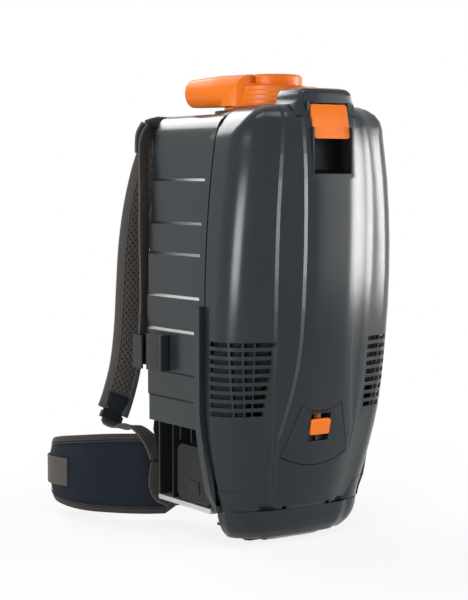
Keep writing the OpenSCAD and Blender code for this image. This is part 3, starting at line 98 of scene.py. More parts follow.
class Wire:
    """A shader socket that can be used in sums."""

    def __init__(self, finish, socket):
        self.finish = finish
        self.socket = socket

    def _math(self, how, *values):
        return self.finish.node("ShaderNodeMath", {"operation": how}, *values)

    def __add__(self, other):
        return self._math("ADD", self, other)

    __radd__ = __add__

    def __sub__(self, other):
        return self._math("SUBTRACT", self, other)

    def __rsub__(self, other):
        return self._math("SUBTRACT", other, self)

    def __mul__(self, other):
        return self._math("MULTIPLY", self, other)

    __rmul__ = __mul__

    def wave(self):
        """0 to 1 and back, as a sine of the value."""
        return self._math("SINE", self) * 0.5 + 0.5

    def abs(self):
        return self._math("ABSOLUTE", self)

    def power(self, other):
        return self._math("POWER", self, other)

    def most(self, other):
        return self._math("MAXIMUM", self, other)

    def ramp(self, low, high):
        """0 below low, 1 above high, smooth between."""
        return self.finish.node(
            "ShaderNodeMapRange", {"interpolation_type": "SMOOTHSTEP"}, self, low, high
        )


class Finish:
    """One material and the nodes in it."""

    def __init__(self, name):
        self.material = bpy.data.materials.new(name)
        self.material.use_nodes = True
        self.tree = self.material.node_tree
        self.shader = self.tree.nodes["Principled BSDF"]

    def node(self, kind, settings=None, *values, out=0, **named):
        """Makes a node: its settings first, then the values or links of its sockets."""
        made = self.tree.nodes.new(kind)
        for key, value in (settings or {}).items():
            setattr(made, key, value)
        sockets = [(made.inputs[i], v) for i, v in enumerate(values)]
        sockets += [(made.inputs[k], v) for k, v in named.items()]
        for socket, value in sockets:
            self.feed(socket, value)
        return Wire(self, made.outputs[out])

    def feed(self, socket, value):
        if isinstance(value, Wire):
            self.tree.links.new(value.socket, socket)
        elif value is not None:
            socket.default_value = value

    def place(self):
        """Object coordinates, in metres."""
        return self.node("ShaderNodeTexCoord", out=3)

    def cloth_uv(self):
        """The piece's own map: across and along it, in metres."""
        return self.node("ShaderNodeUVMap", {"uv_map": "cloth"})

    def split(self, vector):
        made = self.node("ShaderNodeSeparateXYZ", None, vector)
        outs = made.socket.node.outputs
        return [Wire(self, outs[i]) for i in range(3)]

    def noise(self, scale, vector=None, detail=2.0, rough=0.5):
        return self.node(
            "ShaderNodeTexNoise", None, Vector=vector or self.place(), Scale=scale,
            Detail=detail, Roughness=rough,
        )

    def cells(self, scale):
        return self.node("ShaderNodeTexVoronoi", None, Vector=self.place(), Scale=scale)

    def mix(self, amount, first, second):
        """Colour between two colours."""
        made = self.node("ShaderNodeMix", {"data_type": "RGBA"}).socket.node
        for name, value in (("Factor_Float", amount), ("A_Color", first), ("B_Color", second)):
            socket = next(s for s in made.inputs if s.identifier == name)
            self.feed(socket, with_alpha(value))
        return Wire(self, next(s for s in made.outputs if s.identifier == "Result_Color"))

    def bump(self, height, depth, strength=1.0, normal=None):
        made = self.node("ShaderNodeBump", None, Strength=strength, Distance=depth, Height=height)
        if normal is not None:
            self.feed(made.socket.node.inputs["Normal"], normal)
        return made

    def done(self, **sockets):
        names = {"colour": "Base Color", "rough": "Roughness", "metal": "Metallic",
                 "normal": "Normal", "sheen": "Sheen Weight", "shine": "Specular IOR Level"}
        for key, value in sockets.items():
            self.feed(self.shader.inputs[names[key]], with_alpha(value))
        return self.material


def with_alpha(value):
    """A colour of three numbers as a socket wants it; anything else as it is."""
    return (*value, 1) if isinstance(value, tuple) and len(value) == 3 else value


def lit(colour, by):
    """A colour made lighter or darker."""
    return tuple(min(1.0, c * by) for c in colour)


def moulded_plastic(name, colour, rough, grain=0.00004, pitch=900):
    """Fine spark-eroded texture, slight flow marks and dulled patches."""
    f = Finish(name)
    fine = f.noise(pitch, detail=3.0)
    broad = f.noise(9.0, detail=3.0)
    handled = f.noise(38.0, detail=4.0, rough=0.6)
    tone = f.mix(broad.ramp(0.35, 0.7), lit(colour, 0.94), lit(colour, 1.07))
    return f.done(
        colour=tone, rough=handled * 0.09 + fine * 0.05 + (rough - 0.07),
        normal=f.bump(fine, grain), shine=0.25,
    )


def drawn_metal(name, colour, rough, along="Z", lines=1600):
    """Metal with fine lines left by drawing or rolling."""
    f = Finish(name)
    stretch = {"X": (0.02, 1, 1), "Y": (1, 0.02, 1), "Z": (1, 1, 0.02)}[along]
    at = f.node("ShaderNodeMapping", None, Vector=f.place(), Scale=stretch)
    grain = f.noise(lines, at, detail=2.0)
    smear = f.noise(30.0, detail=3.0)
    return f.done(
        colour=f.mix(smear.ramp(0.3, 0.7), lit(colour, 0.9), colour), metal=1.0,
        rough=grain * 0.12 + smear * 0.08 + (rough - 0.1), normal=f.bump(grain, 0.00002),
    )


def webbing_weave(name, colour, edge, width):
    """Flat woven webbing: ribs across, slanted yarns, thicker selvedge."""
    f = Finish(name)
    u, v, _ = f.split(f.cloth_uv())
    slant = (u.abs() * 2200 + v * 2600).wave()
    ribs = (v * 4200).wave()
    rows = (u * 5200).wave()
    weave = slant * 0.5 + ribs * 0.25 + rows * 0.35
    side = u.abs().ramp(width * 0.43, width * 0.47)
    fluff = f.noise(700.0, detail=3.0)
    dark = f.mix(weave.ramp(0.25, 0.85), lit(colour, 0.72), lit(colour, 1.2))
    tone = f.mix(side * 0.6, dark, edge)
    return f.done(
        colour=tone, rough=fluff * 0.15 + 0.62, normal=f.bump(weave + fluff * 0.3, 0.00035),
        sheen=0.08, shine=0.2,
    )


def woven_nylon(name, colour, pitch=0.0011):
    """Plain-woven pack cloth with a soft, uneven face."""
    f = Finish(name)
    u, v, _ = f.split(f.cloth_uv())
    turn = 2 * math.pi / pitch
    warp = (u * turn).wave()
    weft = (v * turn).wave()
    weave = warp * weft + (1 - warp) * (1 - weft)
    crumple = f.noise(26.0, detail=4.0, rough=0.6)
    dust = f.noise(90.0, detail=3.0)
    tone = f.mix(weave * 0.5 + crumple * 0.4, lit(colour, 0.75), lit(colour, 1.45))
    folds = f.bump(crumple, 0.0022, 0.55)
    return f.done(
        colour=tone, rough=dust * 0.16 + 0.66, normal=f.bump(weave, 0.0003, 1.0, folds),
        sheen=0.03, shine=0.12,
    )


def spacer_mesh(name, colour, cell=0.0046):
    """Three-dimensional mesh cloth: rows of small lens-shaped holes, offset row by row."""
    f = Finish(name)
    u, v, _ = f.split(f.cloth_uv())
    turn = math.pi / cell
    one = ((u * 1.15 + v) * turn).wave()
    two = ((u * 1.15 - v) * turn).wave()
    holes = (one * two).power(0.7)
    yarn = f.noise(900.0, detail=3.0)
    broad = f.noise(16.0, detail=3.0)
    deep = holes.ramp(0.35, 0.75)
    tone = f.mix(deep, lit(colour, 1.35), lit(colour, 0.32))
    tone = f.mix(broad.ramp(0.4, 0.7) * 0.25, tone, lit(colour, 1.2))
    return f.done(
        colour=tone, rough=yarn * 0.15 + 0.68,
        normal=f.bump(1 - deep + yarn * 0.25, 0.0009), sheen=0.08, shine=0.2,
    )


def binding_tape(name, colour):
    """Grosgrain tape folded round an edge."""
    f = Finish(name)
    _, v, _ = f.split(f.cloth_uv())
    ribs = (v * 5200).wave()
    fluff = f.noise(500.0, detail=3.0)
    tone = f.mix(ribs * 0.6 + fluff * 0.4, lit(colour, 0.7), lit(colour, 1.25))
    return f.done(colour=tone, rough=0.75, normal=f.bump(ribs, 0.00025), sheen=0.06,
                  shine=0.2)


def open_foam(name, colour):
    f = Finish(name)
    pores = f.cells(1500.0)
    broad = f.noise(60.0, detail=3.0)
    tone = f.mix(pores.ramp(0.1, 0.5), lit(colour, 0.3), lit(colour, 1.6))
    return f.done(colour=tone, rough=broad * 0.1 + 0.88, normal=f.bump(pores, 0.0006), shine=0.1)


def soft_rubber(name, colour):
    f = Finish(name)
    fine = f.noise(700.0, detail=4.0)
    bloom = f.noise(24.0, detail=4.0)
    tone = f.mix(bloom.ramp(0.4, 0.75), colour, lit(colour, 1.9))
    return f.done(colour=tone, rough=fine * 0.1 + 0.62, normal=f.bump(fine, 0.00005))


def nonwoven(name, colour):
    """Fleece pressed from fibres, with an even dimple pattern."""
    f = Finish(name)
    dimples = f.cells(420.0)
    fibres = f.noise(1400.0, detail=5.0, rough=0.7)
    broad = f.noise(12.0, detail=3.0)
    tone = f.mix(fibres * 0.5 + broad * 0.5, lit(colour, 0.8), lit(colour, 1.12))
    return f.done(
        colour=tone, rough=fibres * 0.1 + 0.84,
        normal=f.bump(dimples.ramp(0.05, 0.4) * 0.6 + fibres * 0.5, 0.0004), sheen=0.3,
    )


def lacquered_board(name, colour):
    """Green circuit board with pale tracks under the lacquer."""
    f = Finish(name)
    x, _, z = f.split(f.place())
    tracks = ((x * 1600).wave() * (z * 900).wave()).ramp(0.45, 0.55)
    spots = f.cells(260.0).ramp(0.06, 0.12)
    tone = f.mix(tracks * 0.4, colour, lit(colour, 2.2))
    return f.done(colour=f.mix(1 - spots, tone, (0.5, 0.4, 0.2)), rough=tracks * 0.1 + 0.3,
                  normal=f.bump(tracks, 0.00003))


def wound_copper(name, colour):
    f = Finish(name)
    _, _, z = f.split(f.place())
    turns = (z * 5200).wave()
    broad = f.noise(120.0, detail=3.0)
    tone = f.mix(turns, lit(colour, 0.5), lit(colour, 1.2))
    return f.done(colour=tone, metal=0.8, rough=broad * 0.15 + 0.35, normal=f.bump(turns, 0.0003))


# ---------- the body's form ----------


def clamp(v, low=0.0, high=1.0):
    return max(low, min(high, v))


def ease(v):
    v = clamp(v)
    return v * v * (3 - 2 * v)


def drawn_in(r, up):
    """How far a rounded edge of radius r has drawn in at a height above where it starts."""
    return 0 if up <= 0 else r - math.sqrt(max(0, r * r - min(up, r) ** 2))


def cover_half_w(z):
    """Half width of the cover at a height."""
    return (HALF_W - 22 * clamp((z - 300) / (COVER_TOP - 300)) ** 2
            - 21.7 * clamp((170 - z) / 127) ** 1.3
            - drawn_in(45, z - (COVER_TOP - 45)) - drawn_in(FOOT_R, FOOT_ROUND_Z - z))


def face_line(z):
    """How far forward the cover's middle stands at a height."""
    if z < BELLY_Z:
        return FRONT_Y + 55 * clamp((BELLY_Z - z) / (BELLY_Z - FOOT_Z)) ** 2.2
    return FRONT_Y + 12 * clamp((z - BELLY_Z) / (COVER_TOP - BELLY_Z)) ** 2.5


def outer_crease_x(z):
    """The outer crease's own line, before the cover's corner pushes it in."""
    return 75 - 10 * ((z - 370) / 150) ** 2 if z > 370 else 75 - 20 * ((370 - z) / 304) ** 2


def inner_crease_x(z):
    """The inner crease's own line, which runs out towards the foot."""
    return min(outer_crease_x(z), 39.5 + 20 * max(0, (260 - z) / 130) ** 1.6)


def corner_of(z):
    """Radius of the cover's corner, the turn at its start, and how far out it starts."""
    w = cover_half_w(z)
    r = max(6, min(CORNER_R - 30 * ease((z - COVER_TOP + 50) / 45), w * 0.45))
    turn = math.atan(2 * FRONT_CROWN * (w - r))
    return r, turn, w - r * (1 - math.sin(turn))


def creases(z):
    """Where the two creases of each half of the cover stand at a height."""
    outer = min(outer_crease_x(z), corner_of(z)[2] - 2 * CREASE_HALF)
    return min(inner_crease_x(z), outer - 3 * CREASE_HALF), outer


def cover_ring(z, dense=4):
    """Level outline of the cover from the left seam round the front to the right seam."""
    w = cover_half_w(z)
    fy = face_line(z) + drawn_in(22, z - (COVER_TOP - 22)) + max(0, CHAMFER_TOP - z)
    r, turn, xs = corner_of(z)
    xi, xo = creases(z)
    h = CREASE_HALF
    stops = [0, xi / 2, xi - h, xi + h, (xi + xo) / 2, xo - h, xo + h, xs]
    half = []
    for a, b in zip(stops, stops[1:]):
        for i in range(dense):
            x = a + (b - a) * i / dense
            step = ease((x - xi + h) / (2 * h)) + ease((x - xo + h) / (2 * h))
            half.append((x, fy + FRONT_CROWN * x * x + CREASE_STEP * step))
    ys = fy + FRONT_CROWN * xs * xs + 2 * CREASE_STEP
    yc = ys + r * math.cos(turn)
    end = math.acos(clamp((yc - SEAM_Y) / r, -1, 1)) if yc > SEAM_Y else math.pi / 2
    for i in range(7 * dense):
        a = turn + (end - turn) * i / (7 * dense - 1)
        half.append((w - r + r * math.sin(a), yc - r * math.cos(a)))
    return [(-x, y) for x, y in reversed(half[1:])] + half


def line_y(z):
    """The harness frame's middle line at a height."""
    for (ya, za), (yb, zb) in zip(FRAME_LINE, FRAME_LINE[1:]):
        if z <= zb or zb == FRAME_LINE[-1][1]:
            return ya + (yb - ya) * (z - za) / (zb - za)
    return FRAME_LINE[-1][0]


# ---------- making meshes ----------

BODY_OF = {n: b for b, ns in frame["record"]["behaviour"]["bodies"].items() for n in ns}
FINISHES = {}


def colours():
    return bpy.context.scene.vacuum_colours


def sizes():
    return bpy.context.scene.vacuum_sizes


def finish(name):
    """The named finish, made once."""
    if name not in FINISHES:
        FINISHES[name] = make_finish(name, colours())
    return FINISHES[name]


def make_finish(name, c):
    casing, tub, trim, webbing, binding = (
        tuple(v) for v in (c.casing, c.tub, c.trim, c.webbing, c.binding))
    recipes = {
        "body_plastic": (moulded_plastic, "anthracite_moulding", casing, 0.22),
        "door_plastic": (moulded_plastic, "door_moulding", casing, 0.23),
        "trim_plastic": (moulded_plastic, "black_moulding", trim, 0.42, 0.00005, 1100),
        "tub_plastic": (moulded_plastic, "tub_moulding", tub, 0.24, 0.00003, 800),
        "orange_plastic": (
            moulded_plastic, "orange_moulding", tuple(c.accent), 0.34, 0.00002, 900),
        "pack_plastic": (moulded_plastic, "battery_moulding", lit(trim, 0.6), 0.5, 0.00008, 700),
        # near-black finish for recess and pocket faces: painted shade, not a plastic of its own
        # colour
        "painted_pocket_shade": (moulded_plastic, "pocket_moulding", (0.006, 0.007, 0.008), 0.45),
        "inner_plastic": (moulded_plastic, "grey_inner_moulding", (0.13, 0.135, 0.14), 0.45),
        "steel": (drawn_metal, "plated_steel", (0.56, 0.56, 0.55), 0.32),
        "alloy_sheet": (drawn_metal, "rolled_alloy", (0.62, 0.63, 0.64), 0.38, "X"),
        "contact": (drawn_metal, "plated_contact", (0.83, 0.62, 0.3), 0.28),
        "copper_core": (wound_copper, "wound_copper", (0.72, 0.32, 0.12)),
        # the foam is dark of its own, and darkened further as painted shade behind the grille
        # slots
        "foam": (open_foam, "open_foam", (0.012, 0.0125, 0.013)),
        "gasket": (soft_rubber, "sealing_rubber", (0.018, 0.018, 0.019)),
        "paper": (nonwoven, "pleated_filter_cloth", (0.78, 0.77, 0.73)),
        "fleece": (nonwoven, "bag_fleece", (0.66, 0.62, 0.54)),
        "card": (nonwoven, "collar_card", (0.5, 0.4, 0.26)),
        "board": (lacquered_board, "circuit_board", (0.02, 0.11, 0.05)),
        "belt_cloth": (woven_nylon, "belt_nylon", tuple(c.belt)),
        "strap_mesh": (spacer_mesh, "strap_spacer_mesh", webbing),
        "pad_mesh": (spacer_mesh, "back_spacer_mesh", lit(webbing, 0.7), 0.0055),
        "webbing": (webbing_weave, "harness_webbing", webbing, lit(webbing, 1.5),
                    WEB_W * MM),
        "binding": (binding_tape, "edge_binding", binding),
        "belt_binding": (binding_tape, "belt_piping", lit(binding, 0.45)),
        "thread": (binding_tape, "sewing_thread", lit(webbing, 2.2)),
    }
    make, *given = recipes[name]
    return make(*given)


def give(obj, name):
    """Leaves the piece with this one finish."""
    obj.data.materials.clear()
    obj.data.materials.append(finish(name))
    return obj


def settle(obj, body, nodes=()):
    """Puts a finished piece on its body."""
    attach(obj, body)
    if nodes:
        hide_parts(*nodes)
    return obj


def mesh_piece(name, points, faces, finish_name, uv=None, sharp=40):
    """A new mesh in metres from points in millimetres."""
    mesh = bpy.data.meshes.new(name)
    mesh.from_pydata([(x * MM, y * MM, z * MM) for x, y, z in points], [], faces)
    if uv:
        layer = mesh.uv_layers.new(name="cloth")
        for poly in mesh.polygons:
            for k, loop in enumerate(poly.loop_indices):
                layer.data[loop].uv = uv[poly.index][k]
    mesh.polygons.foreach_set("use_smooth", [True] * len(mesh.polygons))
    mesh.set_sharp_from_angle(angle=math.radians(sharp))
    mesh.update()
    obj = bpy.data.objects.new(name, mesh)
    bpy.context.scene.collection.objects.link(obj)
    return give(obj, finish_name)


def shaded_copy(node, name, finish_name, sharp=32, guide=None):
    """A merged copy of a CAD node with rounded surfaces shaded smooth."""
    mesh = frame["nodes"][node].data.copy()
    mesh.name = name
    obj = bpy.data.objects.new(name, mesh)
    bpy.context.scene.collection.objects.link(obj)
    bm = bmesh.new()
    bm.from_mesh(mesh)
    bmesh.ops.remove_doubles(bm, verts=bm.verts, dist=2e-6)
    bmesh.ops.dissolve_degenerate(bm, dist=1e-6, edges=bm.edges)
    bm.to_mesh(mesh)
    bm.free()
    if "custom_normal" in mesh.attributes:
        mesh.attributes.remove(mesh.attributes["custom_normal"])
    mesh.polygons.foreach_set("use_smooth", [True] * len(mesh.polygons))
    mesh.set_sharp_from_angle(angle=math.radians(sharp))
    if guide:
        follow(mesh, *guide)
    give(obj, finish_name)
    return settle(obj, BODY_OF[node], [node])


def part_finish(obj, finish_name, *boxes):
    """Gives the faces inside the boxes, in millimetres, a finish of their own."""
    obj.data.materials.append(finish(finish_name))
    last = len(obj.data.materials) - 1
    for poly in obj.data.polygons:
        c = poly.center / MM
        if any(all(lo[k] <= c[k] <= hi[k] for k in range(3)) for lo, hi in boxes):
            poly.material_index = last
    return obj


def on_crease(x, y, z):
    """Whether a place on the cover is on the step of a crease."""
    low, high = CREASE_ENDS
    return y < SEAM_Y and low < z < high and min(abs(abs(x) - at) for at in creases(z)) < 1.2


def follow(mesh, tree, polys, points, normals, reach=0.0012):
    """Shades the faces that lie on a guide surface with that surface's own normals."""
    shade = [n.vector.copy() for n in mesh.corner_normals]
    for poly in mesh.polygons:
        x, y, z = poly.center / MM
        if on_crease(x, y, z):
            # the step of a crease catches the light along its whole width
            tilt = 1.7 if x < 0 else 0.45
            lean = Vector((poly.normal.x * tilt, poly.normal.y, poly.normal.z)).normalized()
            for loop in poly.loop_indices:
                shade[loop] = lean
            continue
        for loop in poly.loop_indices:
            at = mesh.vertices[mesh.loops[loop].vertex_index].co
            near, _, index, gap = tree.find_nearest(at)
            if near is None or gap > reach:
                continue
            ids = polys[index]
            weights = interpolate.poly_3d_calc([points[i] for i in ids], near)
            normal = sum((normals[i] * w for i, w in zip(ids, weights)), Vector())
            if normal.length and normal.normalized().dot(poly.normal) > 0.86:
                shade[loop] = normal.normalized()
    mesh.normals_split_custom_set(shade)


# ---------- soft forms ----------


def curve(points, steps):
    """Smooth curve through points, in millimetres."""
    out = []
    for i in range(len(points) - 1):
        a, b = Vector(points[max(i - 1, 0)]), Vector(points[i])
        c, d = Vector(points[i + 1]), Vector(points[min(i + 2, len(points) - 1)])
        for s in range(steps):
            u = s / steps
            out.append(0.5 * (2 * b + (c - a) * u + (2 * a - 5 * b + 4 * c - d) * u * u
                              + (3 * b - a - 3 * c + d) * u ** 3))
    return out + [Vector(points[-1])]


def spaced(path, pitch):
    """The same line with points a pitch apart, and the distance along it of each."""
    lengths = [0.0]
    for a, b in zip(path, path[1:]):
        lengths.append(lengths[-1] + (b - a).length)
    count = max(2, round(lengths[-1] / pitch))
    out, runs, k = [], [], 0
    for i in range(count + 1):
        want = lengths[-1] * i / count
        while k < len(path) - 2 and lengths[k + 1] < want:
            k += 1
        span = lengths[k + 1] - lengths[k]
        out.append(path[k].lerp(path[k + 1], (want - lengths[k]) / span if span else 0))
        runs.append(want)
    return out, runs


def axes(path, side, i):
    """Across and outward directions of a band at a point of its line."""
    t = (path[min(i + 1, len(path) - 1)] - path[max(i - 1, 0)]).normalized()
    side = Vector(side)
    wide = (side - t * side.dot(t)).normalized()
    return wide, t.cross(wide)


def outward(obj):
    """Turns every face of a closed piece to look out."""
    bm = bmesh.new()
    bm.from_mesh(obj.data)
    bmesh.ops.recalc_face_normals(bm, faces=bm.faces)
    bm.to_mesh(obj.data)
    bm.free()
    return obj


def band(name, path, runs, side, cut, finish_name):
    """A closed skin along a line: cut(i, u) gives each ring's points as (across, out)."""
    rings, points, faces, uv = [], [], [], []
    total = runs[-1]
    for i, at in enumerate(path):
        wide, out = axes(path, side, i)
        ring = cut(i, runs[i] / total)
        rings.append(ring)
        points += [at + wide * a + out * o for a, o in ring]
    n = len(rings[0])
    girth = [0.0]
    waist = rings[len(rings) // 2]
    for a, b in zip(waist, waist[1:] + waist[:1]):
        girth.append(girth[-1] + math.hypot(b[0] - a[0], b[1] - a[1]))
    middle = girth[n // 4]
    for i in range(len(path) - 1):
        for j in range(n):
            a, b = i * n + j, i * n + (j + 1) % n
            faces.append((a, a + n, b + n, b))
            u0, u1 = (girth[j] - middle) * MM, (girth[j + 1] - middle) * MM
            v0, v1 = runs[i] * MM, runs[i + 1] * MM
            uv.append(((u0, v0), (u0, v1), (u1, v1), (u1, v0)))
    for start, order in ((0, range(n)), ((len(path) - 1) * n, range(n - 1, -1, -1))):
        faces.append(tuple(start + j for j in order))
        uv.append([(points[start + j].dot(Vector(side)) * MM, runs[0] * MM) for j in order])
    return outward(mesh_piece(name, points, faces, finish_name, uv, sharp=55))


def flat_cut(w, t):
    """Cut across webbing: flat, with thicker rounded selvedges."""
    shares = ((0, 1.0), (0.55, 1.0), (0.84, 0.96), (0.9, 1.14), (0.96, 1.12), (0.99, 0.75),
              (1, 0.3))
    half = [(x * w / 2, k * t / 2) for x, k in shares]
    front = [(-x, o) for x, o in reversed(half)] + half[1:]
    return front[::-1] + [(x, -o) for x, o in front]


def webbing_strip(name, line, side, w, t):
    """Flat webbing along a line, swaying a little from one side to the other."""
    path, runs = spaced(curve(line, 10), 2.5)
    seed = sum(map(ord, name))
    ring = flat_cut(w, t)

    def cut(i, _):
        sway = 0.5 * math.sin(runs[i] * 0.045 + seed)
        return [(a, o + sway * (a / w) * 1.2) for a, o in ring]

    return band(name, path, runs, side, cut, "webbing")


def signed_pow(v, p):
    """The power of a number's size, with its sign."""
    return math.copysign(abs(v) ** p, v)


def around(n):
    """The angles of n points round a full turn."""
    return [2 * math.pi * k / n for k in range(n)]


def cushion_half(u, thick, edge):
    """Half thickness of a cushion at a share of the way out to its edge."""
    return edge + (thick - edge) * max(0.0, 1 - abs(u) ** 2.6) ** 0.8


def cushion_cut(w, thick, edge, n, seam, depth):
    """Closed cut across a cushion, its faces pulled in along a seam near each edge."""
    ring = []
    for a in around(n):
        x = signed_pow(math.cos(a), 0.75)
        h = cushion_half(x, thick, edge) - depth * math.exp(-((abs(x) - seam) / 0.05) ** 2)
        ring.append((w / 2 * x, h * signed_pow(math.sin(a), 0.7)))
    return ring


def crumple(obj, amount, pitch, seed, keep=None):
    """Moves the surface in and out by about amount, as cloth over foam does; keep(p) is
    the share of it that a point takes."""
    mesh = obj.data
    normals = [v.normal.copy() for v in mesh.vertices]
    for v, n in zip(mesh.vertices, normals):
        at = v.co / MM / pitch + Vector((seed, 0, 0))
        k = noise.noise(at) + 0.5 * noise.noise(at * 2.3)
        share = keep(v.co / MM) if keep else 1
        v.co += n * (k * amount * share * MM)
    mesh.update()


def subdivided(obj):
    """The same piece with one level of smoothing."""
    mod = obj.modifiers.new("smoother", "SUBSURF")
    mod.levels = mod.render_levels = 1
    return obj


# ---------- sewing, by geometry nodes ----------


class PieceTree:
    """A node tree that sets one small shape on many points and makes it one mesh."""

    def __init__(self, name, sizes_given):
        self.tree = bpy.data.node_groups.new(name, "GeometryNodeTree")
        self.socket("Geometry", "Geometry")
        for size_name, value in sizes_given:
            self.socket(size_name, "Float").default_value = value
        self.socket("Material", "Material")
        self.socket("Geometry", "Geometry", "OUTPUT")
        self.given = self.add("NodeGroupInput").outputs

    def socket(self, name, kind, way="INPUT"):
        return self.tree.interface.new_socket(name, in_out=way, socket_type="NodeSocket" + kind)

    def add(self, kind, settings=None, **values):
        """Makes a node: its settings, then the values or links of its inputs."""
        node = self.tree.nodes.new(kind)
        for key, value in (settings or {}).items():
            setattr(node, key, value)
        for key, value in values.items():
            socket = node.inputs[key.replace("_", " ")]
            if isinstance(value, bpy.types.NodeSocket):
                self.tree.links.new(value, socket)
            else:
                socket.default_value = value
        return node

    def spread(self, points, shape, way):
        """Ends the tree: the shape on each point, turned so that its Z lies along way."""
        turn = self.add("FunctionNodeAlignRotationToVector", {"axis": "Z"}, Vector=way)
        put = self.add("GeometryNodeInstanceOnPoints", None, Points=points, Instance=shape,
                       Rotation=turn.outputs["Rotation"])
        real = self.add("GeometryNodeRealizeInstances", None, Geometry=put.outputs["Instances"])
        dress = self.add("GeometryNodeSetMaterial", None, Geometry=real.outputs["Geometry"],
                         Material=self.given["Material"])
        self.add("NodeGroupOutput", None, Geometry=dress.outputs["Geometry"])
        return self.tree


def stitch_tree():
    """Thread laid as short stitches along a line's edges."""
    t = PieceTree("thread_run", (("Pitch", 0.0035), ("Stitch", 0.0024), ("Thread", 0.0004)))
    line = t.add("GeometryNodeMeshToCurve", None, Mesh=t.given["Geometry"])
    even = t.add("GeometryNodeResampleCurve", {"mode": "LENGTH"}, Curve=line.outputs["Curve"],
                 Length=t.given["Pitch"])
    bar = t.add("GeometryNodeMeshCylinder", None, Vertices=6, Depth=t.given["Stitch"],
                Radius=t.given["Thread"])
    tangent = t.add("GeometryNodeInputTangent")
    return t.spread(even.outputs["Curve"], bar.outputs["Mesh"], tangent.outputs["Tangent"])


def screw_tree():
    """Pan-head screws with a six-sided socket, standing on points that face outward."""
    t = PieceTree("screw_heads", (
        ("Head radius", 0.004), ("Head height", 0.0024), ("Socket radius", 0.0018)))
    high = t.given["Head height"]
    rim = t.add("ShaderNodeMath", {"operation": "MULTIPLY"})
    t.tree.links.new(t.given["Head radius"], rim.inputs[0])
    rim.inputs[1].default_value = 0.78
    head = t.add("GeometryNodeMeshCone", None, Vertices=28, Radius_Bottom=t.given["Head radius"],
                 Radius_Top=rim.outputs[0], Depth=high)
    hollow = t.add("GeometryNodeMeshCylinder", None, Vertices=6, Depth=high,
                   Radius=t.given["Socket radius"])
    up = t.add("ShaderNodeCombineXYZ", None, Z=high)
    lift = t.add("GeometryNodeTransform", None, Geometry=hollow.outputs["Mesh"],
                 Translation=up.outputs[0])
    cut = t.add("GeometryNodeMeshBoolean", {"operation": "DIFFERENCE"},
                Mesh_1=head.outputs["Mesh"], Mesh_2=lift.outputs[0])
    way = t.add("GeometryNodeInputNamedAttribute", {"data_type": "FLOAT_VECTOR"}, Name="out")
    return t.spread(t.given["Geometry"], cut.outputs["Mesh"], way.outputs["Attribute"])


TREES = {}


def run_tree(name, make, mesh, inputs, piece, finish_name):
    """Runs a node tree on a mesh of points or edges and keeps the result as one plain mesh."""
    if name not in TREES:
        TREES[name] = make()
    tree = TREES[name]
    inputs = {**inputs, "Material": finish(finish_name)}
    seed = bpy.data.objects.new(piece + "_seed", mesh)
    bpy.context.scene.collection.objects.link(seed)
    mod = seed.modifiers.new(name, "NODES")
    mod.node_group = tree
    for item in tree.interface.items_tree:
        if item.in_out == "INPUT" and item.name in inputs:
            mod[item.identifier] = inputs[item.name]
    graph = bpy.context.evaluated_depsgraph_get()
    made = bpy.data.meshes.new_from_object(seed.evaluated_get(graph), depsgraph=graph)
    made.name = piece
    bpy.data.objects.remove(seed)
    if not made.vertices:
        raise RuntimeError(f"{piece} came out empty")
    obj = bpy.data.objects.new(piece, made)
    bpy.context.scene.collection.objects.link(obj)
    give(obj, finish_name)
    return settle(obj, "machine")


def thread(piece, lines, slot_name="webbing", pitch=3.6, stitch=2.5, size=0.42):
    """Stitches along one or more lines of points in millimetres."""
    points, edges = [], []
    for line in lines:
        start = len(points)
        points += [Vector(p) * MM for p in line]
        edges += [(start + i, start + i + 1) for i in range(len(line) - 1)]
    mesh = bpy.data.meshes.new(piece + "_line")
    mesh.from_pydata(points, edges, [])
    given = {"Pitch": pitch * MM, "Stitch": stitch * MM, "Thread": size * MM}
    return run_tree("thread_run", stitch_tree, mesh, given, piece, "thread")


def screws(piece, places, out, radius, height, nodes=()):
    """Screws at places in millimetres, whose heads all face one way."""
    mesh = bpy.data.meshes.new(piece + "_points")
    mesh.from_pydata([Vector(p) * MM for p in places], [], [])
    way = mesh.attributes.new("out", "FLOAT_VECTOR", "POINT")
    for place in way.data:
        place.vector = out
    given = {"Head radius": radius * MM, "Head height": height * MM,
             "Socket radius": radius * 0.48 * MM}
    obj = run_tree("screw_heads", screw_tree, mesh, given, piece, "steel")
    if nodes:
        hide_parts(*nodes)
    return obj


def offset_line(path, side, across, out):
    """A line beside a band's middle line."""
    line = []
    for i, at in enumerate(path):
        wide, away = axes(path, side, i)
        line.append(at + wide * across + away * out)
    return line


def mirrored(obj, name):
    """The same piece on the other side."""
    mesh = obj.data.copy()
    mesh.name = name
    mesh.transform(Matrix.Scale(-1, 4, (1, 0, 0)))
    mesh.flip_normals()
    copy = bpy.data.objects.new(name, mesh)
    bpy.context.scene.collection.objects.link(copy)
    return copy


def both(left, nodes=((), ())):
    """Puts a left piece and its mirror image on the machine; nodes are what they stand for."""
    right = mirrored(left, left.name.replace("_left", "_right"))
    settle(left, "machine", nodes[0])
    return settle(right, "machine", nodes[1])


def both_threads(piece, rows, **sizes_given):
    """The same rows of stitches on the left and the right."""
    for mirror, tag in ((1, "left"), (-1, "right")):
        turned = [[Vector((mirror * p.x, p.y, p.z)) for p in row] for row in rows]
        thread(f"{piece}_{tag}", turned, **sizes_given)


def face_rows(path, runs, side, across, skin, proud):
    """Lines along both faces of a pad, near each edge: across(u) is how far out they lie."""
    rows = []
    for sign in (-1, 1):
        for face in (-1, 1):
            line = []
            for i in range(2, len(path) - 2):
                wide, out = axes(path, side, i)
                x = across(runs[i] / runs[-1])
                line.append(path[i] + wide * sign * x + out * face * (skin(i, x) + proud))
            rows.append(line)
    return rows


# ---------- sizes and colours that a user would change ----------


